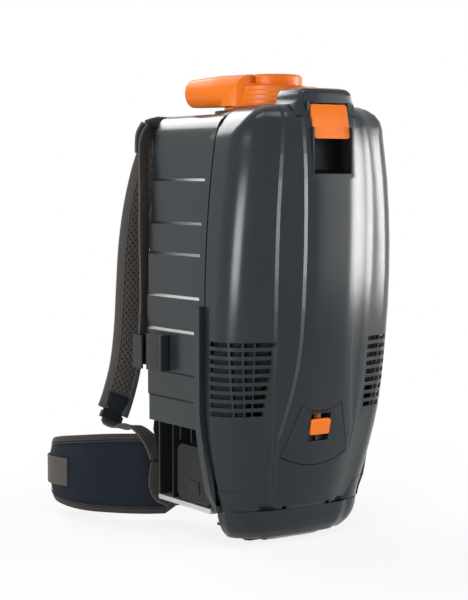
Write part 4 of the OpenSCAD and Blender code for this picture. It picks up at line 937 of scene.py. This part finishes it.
class VacuumSizes(bpy.types.PropertyGroup):
    strap_width: FloatProperty(
        name="Strap width", description="Width of a shoulder strap over its binding",
        default=0.05, min=0.03, max=0.06, unit="LENGTH")
    strap_thick: FloatProperty(
        name="Strap thickness", description="Thickness at the middle of a shoulder strap",
        default=0.0135, min=0.006, max=0.015, unit="LENGTH")
    belt_height: FloatProperty(
        name="Belt height", description="Height of the waist belt where it is widest",
        default=0.11, min=0.08, max=0.13, unit="LENGTH")
    belt_thick: FloatProperty(
        name="Belt thickness", description="Thickness at the middle of the waist belt",
        default=0.0155, min=0.008, max=0.017, unit="LENGTH")
    webbing_thick: FloatProperty(
        name="Webbing thickness", description="Thickness of the flat woven webbing",
        default=0.0024, min=0.001, max=0.003, unit="LENGTH")


def colour_of(name, description, default):
    return FloatVectorProperty(name=name, description=description, default=default,
                               subtype="COLOR", min=0, max=1)


class VacuumColours(bpy.types.PropertyGroup):
    casing: colour_of("Casing", "Front cover and filter door", (0.0155, 0.02, 0.023))
    tub: colour_of("Tub", "Rear tub and chassis", (0.0165, 0.0205, 0.023))
    trim: colour_of("Trim", "Clips, buckles and frame", (0.013, 0.0145, 0.016))
    accent: colour_of("Accent", "Hose swivel, latches and switch", (0.72, 0.155, 0.009))
    webbing: colour_of("Webbing", "Webbing and the mesh of the straps", (0.052, 0.047, 0.043))
    binding: colour_of("Binding", "Tape round the straps and belt", (0.085, 0.078, 0.072))
    belt: colour_of("Belt", "Cloth of the waist belt", (0.0095, 0.013, 0.02))


# ---------- operators: rigid pieces ----------


class VACUUM_OT_stage(bpy.types.Operator):
    """Lays the floor, sets the lamps and the camera"""

    bl_idname = "vacuum.stage"
    bl_label = "Stage"

    def execute(self, context):
        scene = context.scene
        scene.view_settings.view_transform = "Standard"
        self.floor()
        self.lamp("left", (-2.13, -0.95, 0.36), (-0.05, -0.1, 0.32), (0.9, 0.7), 40)
        self.lamp("right", (1.96, -0.84, 0.45), (0.05, -0.1, 0.32), (0.8, 0.85), 42)
        self.lamp("fill", (1.2, -1.55, 0.6), (0.05, -0.1, 0.32), (0.8, 1.2), 7)
        self.lamp("back", (-0.35, 1.7, 1.6), (0.0, 0.0, 0.35), (1.6, 0.8), 40)
        self.lamp("top", (-0.3, -0.9, 2.3), (0.0, -0.1, 0.4), (1.2, 0.8), 16)
        self.world(scene)
        self.camera(scene)
        return {"FINISHED"}

    def floor(self):
        mesh = bpy.data.meshes.new("floor")
        e = 7
        mesh.from_pydata([(-e, -e, 0), (e, -e, 0), (e, e, 0), (-e, e, 0)], [], [(0, 1, 2, 3)])
        floor = bpy.data.objects.new("floor", mesh)
        bpy.context.scene.collection.objects.link(floor)
        f = Finish("white_floor")
        f.feed(f.shader.inputs["Base Color"], (0.8, 0.8, 0.8, 1))
        f.feed(f.shader.inputs["Roughness"], 0.9)
        path = f.node("ShaderNodeLightPath")
        outs = path.socket.node.outputs
        seen = Wire(f, outs["Is Camera Ray"]).most(Wire(f, outs["Is Glossy Ray"]))
        seen = seen.most(Wire(f, outs["Is Transmission Ray"]))
        glow = f.node("ShaderNodeEmission", None, (1, 1, 1, 1), 1.0)
        x, y, _ = f.split(f.place())
        far = ((x * x + y * y).power(0.5)).ramp(0.3, 0.85)
        mixed = f.node("ShaderNodeMixShader", None, seen * (far * 0.16 + 0.84))
        f.feed(mixed.socket.node.inputs[1], Wire(f, f.shader.outputs[0]))
        f.feed(mixed.socket.node.inputs[2], glow)
        f.feed(f.tree.nodes["Material Output"].inputs["Surface"], mixed)
        mesh.materials.append(f.material)

    def lamp(self, name, at, aim, size, power):
        data = bpy.data.lights.new(name, "AREA")
        data.shape = "RECTANGLE"
        data.size, data.size_y = size
        data.energy = power
        lamp = bpy.data.objects.new(name, data)
        turn = (Vector(aim) - Vector(at)).to_track_quat("-Z", "Y")
        lamp.matrix_world = Matrix.Translation(at) @ turn.to_matrix().to_4x4()
        bpy.context.scene.collection.objects.link(lamp)

    def world(self, scene):
        """Dim light from all round, which looks white to the camera and in reflections."""
        world = bpy.data.worlds.new("studio")
        world.use_nodes = True
        scene.world = world
        tree = world.node_tree
        back = tree.nodes["Background"]
        back.inputs["Color"].default_value = (1, 1, 1, 1)
        rays = tree.nodes.new("ShaderNodeLightPath").outputs
        seen = rays["Is Camera Ray"]
        for kind in ("Is Transmission Ray", "Is Glossy Ray"):
            most = tree.nodes.new("ShaderNodeMath")
            most.operation = "MAXIMUM"
            tree.links.new(seen, most.inputs[0])
            tree.links.new(rays[kind], most.inputs[1])
            seen = most.outputs[0]
        level = tree.nodes.new("ShaderNodeMapRange")
        level.inputs["To Min"].default_value = 0.13
        level.inputs["To Max"].default_value = 1.0
        tree.links.new(seen, level.inputs["Value"])
        tree.links.new(level.outputs["Result"], back.inputs["Strength"])

    def camera(self, scene):
        data = bpy.data.cameras.new("camera")
        data.lens, data.sensor_width, data.sensor_fit = 96, 36, "AUTO"
        camera = bpy.data.objects.new("camera", data)
        place = Matrix.Translation((-1.19738, -1.77519, 0.45894))
        turn, dip = math.radians(-34), math.radians(4.3)
        level = math.cos(dip)
        back = Vector((math.sin(turn) * level, -math.cos(turn) * level, math.sin(dip)))
        right = Vector((math.cos(turn), math.sin(turn), 0))
        look = Matrix((right, back.cross(right), back)).transposed()
        camera.matrix_world = place @ look.to_4x4()
        scene.collection.objects.link(camera)
        scene.camera = camera


def cover_guide():
    """Fine surface that follows the cover's rings, for smooth shading."""
    levels = [43, 44.5, 46] + [46 + 1.5 * i for i in range(1, 21)]
    levels += [76 + 6 * i for i in range(1, 71)] + [500 + 2 * i for i in range(25)]
    levels += [549.2, 550.1, 550.6, 551]
    rings = [cover_ring(z) for z in levels]
    n = len(rings[0])
    points = [Vector((x * MM, y * MM, z * MM)) for ring, z in zip(rings, levels) for x, y in ring]
    polys = [(k * n + i, k * n + i + 1, k * n + n + i + 1, k * n + n + i)
             for k in range(len(levels) - 1) for i in range(n - 1)]
    mesh = bpy.data.meshes.new("guide")
    mesh.from_pydata(points, [], polys)
    normals = [v.normal.copy() for v in mesh.vertices]
    bpy.data.meshes.remove(mesh)
    if normals[n * 40 + n // 2].y > 0:
        normals = [-v for v in normals]
    return BVHTree.FromPolygons(points, polys), polys, points, normals


def straight_half_w(z):
    """Half width of the body's outline where the cover's foot isn't rounded."""
    return HALF_W - 21.7 * clamp((170 - z) / 127) ** 1.3


def old_bumper(z):
    """The CAD bumper's outline at a height."""
    u = clamp(z / FOOT_Z)
    w, fy = 118 - 37 * (1 - u) ** 1.5, face_line(FOOT_Z) - 2 + 26 * (1 - u) ** 2.6
    r = min(34, BUMPER_BACK - fy - 11)
    turns = [math.radians(18 * i) for i in (4, 3, 2, 1, 0)]
    arc = [(w - r + r * math.cos(a), fy + 9 + r - r * math.sin(a)) for a in turns]
    half = [(w * 0.35, fy + 1.5)] + arc + [(w, -100)]
    return [(-x, y) for x, y in reversed(half)] + half


def bumper_line(z):
    """The visible bumper's outline at a height."""
    u = clamp(z / FOOT_Z)
    shift = drawn_in(FOOT_R, FOOT_ROUND_Z - FOOT_Z)
    under = 22 * (1 - u) ** 3.2
    narrow = 1 - (7 * (1 - u) + under) / straight_half_w(FOOT_Z)
    back = 3 * (1 - u) + under - BUMPER_INSET
    half = [((x + shift * ease(x / 60)) * narrow, min(y + back, -118))
            for x, y in cover_ring(FOOT_Z) if x >= 0]
    half.append((half[-1][0] + 0.8, -100))
    return [(-x, y) for x, y in reversed(half)] + half


def reach_of(line, way):
    """Distance from the bumper's middle to its outline in one direction."""
    dx, dy = math.sin(way), -math.cos(way)
    best = 0
    for (ax, ay), (bx, by) in zip(line, line[1:]):
        ex, ey = bx - ax, by - ay
        det = dx * -ey + ex * dy
        if abs(det) < 1e-9:
            continue
        px, py = ax, ay - BUMPER_MID
        t = (px * -ey + ex * py) / det
        k = (dx * py - dy * px) / det
        if t > best and -1e-6 <= k <= 1 + 1e-6:
            best = t
    return best or 1000


class VACUUM_OT_casing(bpy.types.Operator):
    """Finishes the front cover, tub, chassis, bumper and base plate"""

    bl_idname = "vacuum.casing"
    bl_label = "Casing"

    def execute(self, context):
        cover = shaded_copy("front_cover", "casing_front", "body_plastic", 24, cover_guide())
        # the hand recess and the recess under the latch flap get the near-black finish as painted
        # shade
        part_finish(cover, "painted_pocket_shade", HAND_RECESS, LATCH_RECESS)
        shaded_copy("rear_tub", "casing_tub", "tub_plastic", 30)
        chassis = shaded_copy("chassis", "casing_chassis", "tub_plastic", 30)
        self.widen_rim(chassis)
        # the battery bay gets the near-black finish as painted shade
        part_finish(chassis, "painted_pocket_shade", BATTERY_BAY)
        self.bumper()
        shaded_copy("base_plate", "casing_base_plate", "alloy_sheet", 30)
        shaded_copy("stand_foot", "casing_foot", "trim_plastic", 30)
        door = shaded_copy("filter_door", "door_panel", "door_plastic", 26)
        # the pocket round the door latch gets the near-black finish as painted shadow below the
        # latch
        low, high = (Vector(c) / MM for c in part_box("door_latch"))
        part_finish(door, "painted_pocket_shade",
                    ((low.x - 2.2, low.y - 1.5, low.z - 10), (high.x + 2.2, 0, high.z + 3)))
        shaded_copy("swivel_base", "swivel_plate", "trim_plastic", 30)
        return {"FINISHED"}

    def widen_rim(self, obj):
        """Lets the rim beside the cover's foot run down straight to the bumper."""
        front, back, top, proud = -129, -114, 172, 2.6
        for v in obj.data.vertices:
            x, y, z = v.co / MM
            if front < y < back and z < top and abs(x) > cover_half_w(z) + 3:
                v.co.x = math.copysign(max(abs(x), straight_half_w(z) + proud), x) * MM
        obj.data.update()

    def bumper(self):
        """The bumper under the cover's foot, drawn to one outline with it."""
        obj = shaded_copy("front_bumper", "casing_bumper", "body_plastic", 30)
        mesh = obj.data
        bm = bmesh.new()
        bm.from_mesh(mesh)
        cuts = [((x * MM, 0, 0), (1, 0, 0)) for x in range(-112, 113, 7)]
        cuts += [((0, y * MM, 0), (0, 1, 0)) for y in (-122, -128, -134, -140, -147, -154)]
        cuts += [((0, 0, z * MM), (0, 0, 1)) for z in (1.6, 3, 6, 8, 13, 23, 40)]
        for at, way in cuts:
            bmesh.ops.bisect_plane(bm, geom=bm.verts[:] + bm.edges[:] + bm.faces[:],
                                   dist=1e-6, plane_co=at, plane_no=way)
        for v in bm.verts:
            x, y, z = v.co / MM
            rho, way = math.hypot(x, y - BUMPER_MID), math.atan2(x, -(y - BUMPER_MID))
            old, new = reach_of(old_bumper(z), way), reach_of(bumper_line(z), way)
            share = ease((rho / old - 0.72) / 0.2) if z < FOOT_Z + 0.2 else 0
            rho *= 1 + share * (new / old - 1)
            v.co.x, v.co.y = rho * math.sin(way) * MM, (BUMPER_MID - rho * math.cos(way)) * MM
            if share and z < 8:
                v.co.z = (z + share * 5 * (1 - z / 8)) * MM
            elif FOOT_Z - 1 < z < FOOT_Z + 0.2 and y < -119 and rho > 0.982 * new:
                v.co.z = (z + BUMPER_LIP) * MM
        bm.to_mesh(mesh)
        bm.free()
        outward(obj)
        mesh.polygons.foreach_set("use_smooth", [True] * len(mesh.polygons))
        mesh.set_sharp_from_angle(angle=math.radians(38))
        for sign, side in ((-1, "left"), (1, "right")):
            settle(self.cheek(sign, side), "cover")

    def cheek(self, sign, side):
        """Fills the corner between the cover's rounded foot and the straight outline."""
        levels = [43.1, 44, 46, 49, 52, 56, 60, 64, 68, 71, 72.6]
        rows = []
        for z in levels:
            half = cover_ring(z)[-28:]
            out = max(drawn_in(FOOT_R, FOOT_ROUND_Z - z), 0.7)
            edge = half[-1][0]
            inner = [(x + 0.5, y + 0.1) for x, y in half] + [(edge + 0.5, -127.2)]
            outer = [(x + out, y) for x, y in half] + [(edge + out, -127.2)]
            rows.append([(sign * x, y, z) for x, y in outer + inner[::-1]])
        n = len(rows[0])
        faces = [(k * n + i, k * n + (i + 1) % n, k * n + n + (i + 1) % n, k * n + n + i)
                 for k in range(len(levels) - 1) for i in range(n)]
        faces += [tuple(range(n)), tuple(range((len(levels) - 1) * n, len(levels) * n))]
        points = [p for row in rows for p in row]
        return outward(mesh_piece("casing_cheek_" + side, points, faces, "body_plastic", sharp=38))


class VACUUM_OT_orange_pieces(bpy.types.Operator):
    """Finishes the hose swivel, latches and switch"""

    bl_idname = "vacuum.orange_pieces"
    bl_label = "Orange pieces"

    def execute(self, context):
        shaded_copy("hose_swivel", "swivel_elbow", "orange_plastic", 34)
        shaded_copy("cover_latch", "latch_flap", "orange_plastic", 34)
        button = shaded_copy("door_latch", "latch_button", "orange_plastic", 34)
        top = max(v.co.z for v in button.data.vertices) / MM
        # the tongue above the button takes the black trim finish: a separate black insert, and
        # dark as painted shade of the gap above the button
        part_finish(button, "trim_plastic", ((-20, -260, top - 9.4), (20, 0, top + 1)))
        shaded_copy("power_switch", "rocker", "orange_plastic", 30)
        return {"FINISHED"}


class VACUUM_OT_trim_pieces(bpy.types.Operator):
    """Finishes clips, catches, buckles, frame, battery and seals"""

    bl_idname = "vacuum.trim_pieces"
    bl_label = "Trim pieces"

    FINISH = {
        "accessory_clips": "trim_plastic", "latch_catch": "trim_plastic",
        "switch_bezel": "trim_plastic", "battery_pack": "pack_plastic",
        "battery_latch": "trim_plastic", "strap_adjusters": "trim_plastic",
        "buckle_female": "trim_plastic", "buckle_male": "trim_plastic",
        "harness_frame": "trim_plastic", "tub_gasket": "gasket", "swivel_seal": "gasket",
        "exhaust_foams": "foam", "cover_hinge_pins": "steel", "latch_pin": "steel",
        # the steel spring in the door pocket takes the near-black pocket finish as painted shade
        # in the pocket
        "latch_spring": "steel", "door_latch_spring": "painted_pocket_shade",
        "battery_contacts": "contact", "battery_rails": "alloy_sheet",
    }

    def execute(self, context):
        for node, name in self.FINISH.items():
            shaded_copy(node, "piece_" + node, name, 32)
        return {"FINISHED"}


class VACUUM_OT_inside(bpy.types.Operator):
    """Finishes the motor, filters, bag holder and electronics"""

    bl_idname = "vacuum.inside"
    bl_label = "Inside"

    FINISH = {
        "exhaust_filter_frame": "trim_plastic", "inlet_spigot": "inner_plastic",
        "bag_collar": "card", "bag_holder": "inner_plastic", "motor_filter": "foam",
        "motor_filter_frame": "inner_plastic", "motor_case": "inner_plastic",
        "motor_stator": "copper_core", "motor_shaft": "steel", "motor_rotor": "steel",
        "fan_impeller": "alloy_sheet", "fan_shroud": "inner_plastic", "motor_bearings": "steel",
        "motor_mounts": "gasket", "control_board": "board",
    }

    def execute(self, context):
        for node, name in self.FINISH.items():
            shaded_copy(node, "inner_" + node, name, 32)
        shaded_copy("exhaust_filter", "pleated_filter", "paper", 30)
        return {"FINISHED"}


# ---------- operators: soft pieces ----------

STRAP = [
    (-84, line_y(527) + 2 + 6.5 + 1, 528), (-84, line_y(503) + 22, 505), (-85, 84, 470),
    (-87, 101, 423), (-90, 110, 370), (-92, 114, 310), (-95, 115, 255), (-103, 113, 205),
    (-116, 110, 166), (-126, 108, 144),
]
STRAP_END = Vector(STRAP[-1])
STRAP_DIR = (STRAP_END - Vector(STRAP[-2])).normalized()
BELT = [
    (-62, line_y(62.5) + 24, 62.5), (-100, line_y(62.5) + 42, 62.5), (-138, 96, 62.5),
    (-167, 124, 62.5), (-181, 160, 62.5), (-172, 190, 61.5), (-149, 210.5, 60.5),
]
BELT_WEB_Y = 214.6
BELT_WEB_Z = 60.5
# widths of the harness webbing, the folded loops, the tethers and the belt's wing webbing
WEB_W = 25
FOLD_W = 22
TETHER_W = 20
WING_WEB_W = 38


def edge_tape(name, path, runs, side, half_w, reach, skin, sign, finish_name, wrap=0.7, lip=1.4):
    """Tape folded over one edge of a pad: skin(i, x) is the pad's half thickness at x."""
    def cut(i, u):
        w = half_w(u)
        xs = [w - reach, w - reach * 0.96, w - reach * 0.6, w - reach * 0.3, w - lip * 0.6, w]
        top = [(x, skin(i, x) + (wrap if k else 0.15)) for k, x in enumerate(xs)]
        tip = [(w + lip * math.sin(a), (skin(i, w) + wrap) * math.cos(a))
               for a in (0.5, 1.0, 1.57, 2.14, 2.64)]
        ring = top + tip + [(x, -o) for x, o in reversed(top)]
        inner = [(x, o * 0.55) for x, o in ring]
        return [(sign * x, o) for x, o in ring + inner[::-1]]

    return band(name, path, runs, side, cut, finish_name)


class VACUUM_OT_back_pad(bpy.types.Operator):
    """Builds the quilted pad on the harness frame"""

    bl_idname = "vacuum.back_pad"
    bl_label = "Back pad"

    def execute(self, context):
        line = [Vector((0, line_y(z) + 9.5, z)) for z in range(158, 471, 4)]
        path, runs = spaced(line, 3.4)

        def half_w(u):
            near_end = min(1, min(u, 1 - u) / 0.1)
            return 57 * min(1, 0.80 + 0.2 * math.sin(near_end * math.pi / 2))

        def thick(u):
            channel = abs(math.sin(u * math.pi * 3)) ** 0.45
            ends = min(1, 0.3 + 5 * min(u, 1 - u))
            return 6.4 * (0.42 + 0.58 * channel) * ends

        def cut(i, u):
            return cushion_cut(2 * half_w(u), thick(u), edge=1.3, n=44, seam=0.86, depth=1.0)

        pad = band("back_cushion", path, runs, (1, 0, 0), cut, "pad_mesh")
        crumple(pad, amount=0.35, pitch=26, seed=3.0)
        subdivided(pad)
        settle(pad, "machine", ["back_pad"])
        for sign, name in ((-1, "back_cushion_tape_left"), (1, "back_cushion_tape_right")):
            tape = edge_tape(name, path, runs, (1, 0, 0), lambda u: half_w(u) - 0.6, 8,
                             lambda i, x: 1.5, sign, "binding", wrap=0.5, lip=1.2)
            settle(tape, "machine")
        for k in (1, 2):
            at = path[round(len(path) * k / 3)]
            row = [at + Vector((x, 2.5, 0)) for x in range(-48, 49, 4)]
            thread(f"back_cushion_stitches_{k}", [row], "belt_cloth", pitch=4.2, stitch=3)
        return {"FINISHED"}


class VACUUM_OT_shoulder_straps(bpy.types.Operator):
    """Builds the padded shoulder straps with their edge binding"""

    bl_idname = "vacuum.shoulder_straps"
    bl_label = "Shoulder straps"

    def execute(self, context):
        s = sizes()
        w = s.strap_width / MM / 2 - 2
        t = s.strap_thick / MM / 2
        side = (1, 0, 0)
        path, runs = spaced(curve(STRAP, 12), 3.0)

        def swell(u):
            return min(1, 0.42 + 3.2 * min(u, 1 - u))

        def cut(i, u):
            return cushion_cut(2 * w, t * swell(u), edge=1.6, n=44, seam=0.74, depth=1.3)

        pad = band("strap_cushion_left", path, runs, side, cut, "strap_mesh")
        crumple(pad, amount=0.45, pitch=30, seed=8.0)
        other = both(pad, (["shoulder_strap_left"], ["shoulder_strap_right"]))
        for piece in (pad, other):
            subdivided(piece)

        def skin(i, x):
            return cushion_half(x / w, t * swell(runs[i] / runs[-1]), 1.6) * 0.9

        for sign, edge in ((-1, "outer"), (1, "inner")):
            tape = edge_tape(f"strap_tape_{edge}_left", path, runs, side, lambda u: w + 0.2, 8.5,
                             skin, sign, "binding")
            both(tape)
        rows = face_rows(path, runs, side, lambda u: w - 6.8, skin, 0.95)
        both_threads("strap_stitches", rows, slot_name="strap_mesh")
        self.ends(w)
        return {"FINISHED"}

    def ends(self, w):
        """Plain cloth tabs sewn over the lower ends of the straps."""
        tab = [STRAP_END + along * STRAP_DIR for along in (-24, -12, -1, 5)]
        path, runs = spaced(curve(tab, 8), 1.5)

        def cut(i, u):
            near = w * (1.02 - 0.36 * ease(u))
            return cushion_cut(2 * near, 6.2 - 3.6 * ease(u), edge=2.4, n=32, seam=0.8, depth=0.5)

        both(band("strap_tab_left", path, runs, (1, 0, 0), cut, "belt_cloth"))


class VACUUM_OT_webbing(bpy.types.Operator):
    """Builds the flat webbing of the harness"""

    bl_idname = "vacuum.webbing"
    bl_label = "Webbing"

    def execute(self, context):
        t = sizes().webbing_thick / MM
        e, d = STRAP_END, STRAP_DIR
        shoulder = [e - 6 * d, e + 7 * d, e + 15 * d, (-126, 92, 124.5), (-115, 74, 128),
                    (-106, 58, 119), (-100.5, line_y(104) + 8, 105),
                    (-98.5, line_y(88) + 3.6, 88)]
        self.pair("shoulder_webbing", shoulder, (1, 0, -0.2), WEB_W, t, "shoulder_webbing")
        y0 = line_y(525) - 2
        loop = [(-84, y0 + 4.6, 499), (-84, y0 - 1.2, 519), (-84, y0 - 3.1, 535),
                (-84, y0 + 5.5, 540.5), (-84, y0 + 21, 534)]
        self.pair("carry_webbing", loop, (1, 0, 0), WEB_W, t, "carry_loop")
        self.ribbons(t)
        tether = [(-100.5, line_y(82) + 3.5, 82), (-103, line_y(66) + 9, 67),
                  (-104, line_y(50) + 15, 52), (-102, line_y(38) + 12, 38),
                  (-92, line_y(32) + 4.4, 31)]
        self.pair("belt_tether_webbing", tether, (1, 0, 0), TETHER_W, t, "belt_tethers")
        return {"FINISHED"}

    def ribbons(self, t):
        """Load webbing down the back edge of the tub and its folded loop at the top."""
        run = [(-108, 36, 528), (-116, 37, 512), (-119, 36, 490), (-121, 32, 440),
               (-122, 30, 370), (-122, 29, 305), (-126, 24, 272), (-130, 18, 252)]
        self.pair("load_webbing", run, (0.86, 0.51, 0), WEB_W, t, "carry_loop")
        fold = [(-112, 37.5, 531), (-116.5, 41, 520), (-118, 41.5, 508), (-118, 41.5, 494)]
        self.pair("fold_webbing", fold, (1, 0.2, 0), FOLD_W, t * 1.4, "carry_loop")
        top = [(-76, 30, 532), (-92, 33, 533), (-106, 35, 532), (-116, 37, 529)]
        self.pair("top_webbing", top, (0, 0.75, -0.66), FOLD_W, t, "carry_loop")

    def pair(self, name, line, side, w, t, node):
        """A strip of webbing on each side, sewn near both edges."""
        both(webbing_strip(name + "_left", line, side, w, t), ([node], [node]))
        path, _ = spaced(curve(line, 10), 2.5)
        rows = [offset_line(path, side, across, face * (t / 2 + 0.12))
                for face in (-1, 1) for across in (3.4 - w / 2, w / 2 - 3.4)]
        both_threads(name + "_stitches", rows, pitch=4.5, stitch=2.6, size=0.3)


class VACUUM_OT_belt(bpy.types.Operator):
    """Builds the waist belt's padded wings, piping and webbing"""

    bl_idname = "vacuum.belt"
    bl_label = "Waist belt"

    def execute(self, context):
        s = sizes()
        high, deep = s.belt_height / MM, s.belt_thick / MM / 2
        side = (0, 0, 1)
        path, runs = spaced(curve(BELT, 12), 3.2)

        def half_h(u):
            return high / 2 * (1 - 0.5 * u ** 3.5) * min(1, 0.8 + 3 * u)

        def thick(u):
            return deep * min(1, 0.42 + 3.2 * min(u, 1 - u))

        def cut(i, u):
            return cushion_cut(2 * half_h(u) - 3, thick(u), edge=2.0, n=56, seam=0.84, depth=1.4)

        pad = band("belt_cushion_left", path, runs, side, cut, "belt_cloth")
        crumple(pad, amount=0.9, pitch=42, seed=5.0)
        other = both(pad, (["belt_pad_left"], ["belt_pad_right"]))
        for piece in (pad, other):
            subdivided(piece)

        def skin(i, x):
            u = runs[i] / runs[-1]
            return cushion_half(x / (half_h(u) - 1.5), thick(u), 2.0) * 0.85

        for sign, edge in ((-1, "low"), (1, "high")):
            tape = edge_tape(f"belt_tape_{edge}_left", path, runs, side,
                             lambda u: half_h(u) - 1.4, 6, skin, sign, "belt_binding")
            both(tape)
        self.straps(path, runs, side, skin, half_h)
        return {"FINISHED"}

    def straps(self, path, runs, side, skin, half_h):
        """Webbing sewn along each wing's outer face, and the waist webbing of the buckle."""
        t = sizes().webbing_thick / MM
        start, n = round(len(path) * 0.62), len(path)
        face = -1 if axes(path, side, n // 2)[1].x > 0 else 1
        run = [path[i] + axes(path, side, i)[1] * face * (skin(i, 0) + t / 2 + 1.4)
               for i in range(start, n - 2, 3)]
        both(webbing_strip("wing_webbing_left", run, side, WING_WEB_W, t))
        rows = [offset_line(run, side, across, face * (t / 2 + 0.1)) for across in (-16, 16)]
        rows += face_rows(path, runs, side, lambda u: half_h(u) - 9.2, skin, 1.0)
        both_threads("wing_stitches", rows, slot_name="belt_cloth")
        for name, x0, x1, body, node in (
            ("waist_webbing_left", -170, -22.4, "belt_buckle", "belt_webbing_left"),
            ("waist_webbing_right", 170, 34.4, "machine", "belt_webbing_right"),
        ):
            line = [(x0 + (x1 - x0) * k / 4, BELT_WEB_Y, BELT_WEB_Z) for k in range(5)]
            settle(webbing_strip(name, line, side, WEB_W, t), body, [node])


class VACUUM_OT_dust_bag(bpy.types.Operator):
    """Builds the full fleece dust bag"""

    bl_idname = "vacuum.dust_bag"
    bl_label = "Dust bag"

    def execute(self, context):
        low, high = (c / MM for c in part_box("dust_bag"))
        foot, top = low.z, high.z
        n = 60
        rings = []
        levels = [0, 0.015, 0.04, 0.08, 0.12] + [0.16 + 0.037 * k for k in range(20)]
        levels += [0.89, 0.915, 0.935, 0.955, 0.975]
        for u in levels:
            near = max(0.0, 1 - abs(2 * u - 0.9) ** 5 * 0.62) ** 0.5
            neck = 1 - 2.4 * (u - 0.9) if u > 0.9 else 1
            w, d = 88 * near * neck, 46.5 * min(1, 0.72 + 2.3 * u) * neck
            z = foot + u * (top - foot)
            rings.append([(w * signed_pow(math.cos(a), 0.65),
                           -54 + d * signed_pow(math.sin(a), 0.65), z) for a in around(n)])
        # gathered neck that turns in through the collar
        for r, down in ((32, 2.5), (27, 1), (24.5, 1.6), (23.8, 8), (23.5, 20)):
            rings.append([(r * math.cos(a), -90 + r * math.sin(a), top - down) for a in around(n)])
        points = [p for ring in rings for p in ring]
        faces = [tuple(range(n - 1, -1, -1))]
        faces += [(k * n + i, k * n + (i + 1) % n, (k + 1) * n + (i + 1) % n, (k + 1) * n + i)
                  for k in range(len(rings) - 1) for i in range(n)]
        faces.append(tuple((len(rings) - 1) * n + i for i in range(n)))
        bag = mesh_piece("fleece_bag", points, faces, "fleece", sharp=70)

        def loose(p):
            return clamp((top - 20 - p.z) / 20) * clamp((p.z - foot) / 10)

        crumple(bag, amount=1.1, pitch=34, seed=12.0, keep=loose)
        subdivided(bag)
        settle(bag, "machine", ["dust_bag"])
        return {"FINISHED"}


class VACUUM_OT_fasteners(bpy.types.Operator):
    """Sets the screws of the case and frame"""

    bl_idname = "vacuum.fasteners"
    bl_label = "Fasteners"

    def execute(self, context):
        # on the frame's crossbars, and under the foot
        places = [(x, line_y(z) + 3.7, z) for x in (-44, 44) for z in (190, 460)]
        screws("frame_screws", places, (0, 1, 0), 4, 2.4)
        places = [(x, y, 41.4) for x in (-84, 84) for y in (-100, -12)]
        screws("foot_screws", places, (0, 0, -1), 4.5, 2.0, ["case_screws"])
        return {"FINISHED"}


# ---------- panel and start ----------

STEPS = ("stage", "casing", "orange_pieces", "trim_pieces", "inside", "back_pad",
         "shoulder_straps", "webbing", "belt", "dust_bag", "fasteners")


class VACUUM_PT_panel(bpy.types.Panel):
    """Sizes, colours and the pieces in order"""

    bl_idname = "VACUUM_PT_panel"
    bl_label = "Backpack vacuum"
    bl_space_type = "VIEW_3D"
    bl_region_type = "UI"
    bl_category = "Vacuum"

    def draw(self, context):
        layout = self.layout
        for group in (context.scene.vacuum_sizes, context.scene.vacuum_colours):
            for name in group.bl_rna.properties.keys():
                if name not in ("rna_type", "name"):
                    layout.prop(group, name)
        for step in STEPS:
            layout.operator("vacuum." + step)


CLASSES = (
    VacuumSizes, VacuumColours, VACUUM_OT_stage, VACUUM_OT_casing, VACUUM_OT_orange_pieces,
    VACUUM_OT_trim_pieces, VACUUM_OT_inside, VACUUM_OT_back_pad, VACUUM_OT_shoulder_straps,
    VACUUM_OT_webbing, VACUUM_OT_belt, VACUUM_OT_dust_bag, VACUUM_OT_fasteners, VACUUM_PT_panel,
)


def register():
    for cls in CLASSES:
        bpy.utils.register_class(cls)
    bpy.types.Scene.vacuum_sizes = PointerProperty(type=VacuumSizes)
    bpy.types.Scene.vacuum_colours = PointerProperty(type=VacuumColours)


def unregister():
    del bpy.types.Scene.vacuum_colours
    del bpy.types.Scene.vacuum_sizes
    for cls in reversed(CLASSES):
        bpy.utils.unregister_class(cls)


def main():
    register()
    for step in STEPS:
        getattr(bpy.ops.vacuum, step)()


if __name__ == "__main__":
    main()
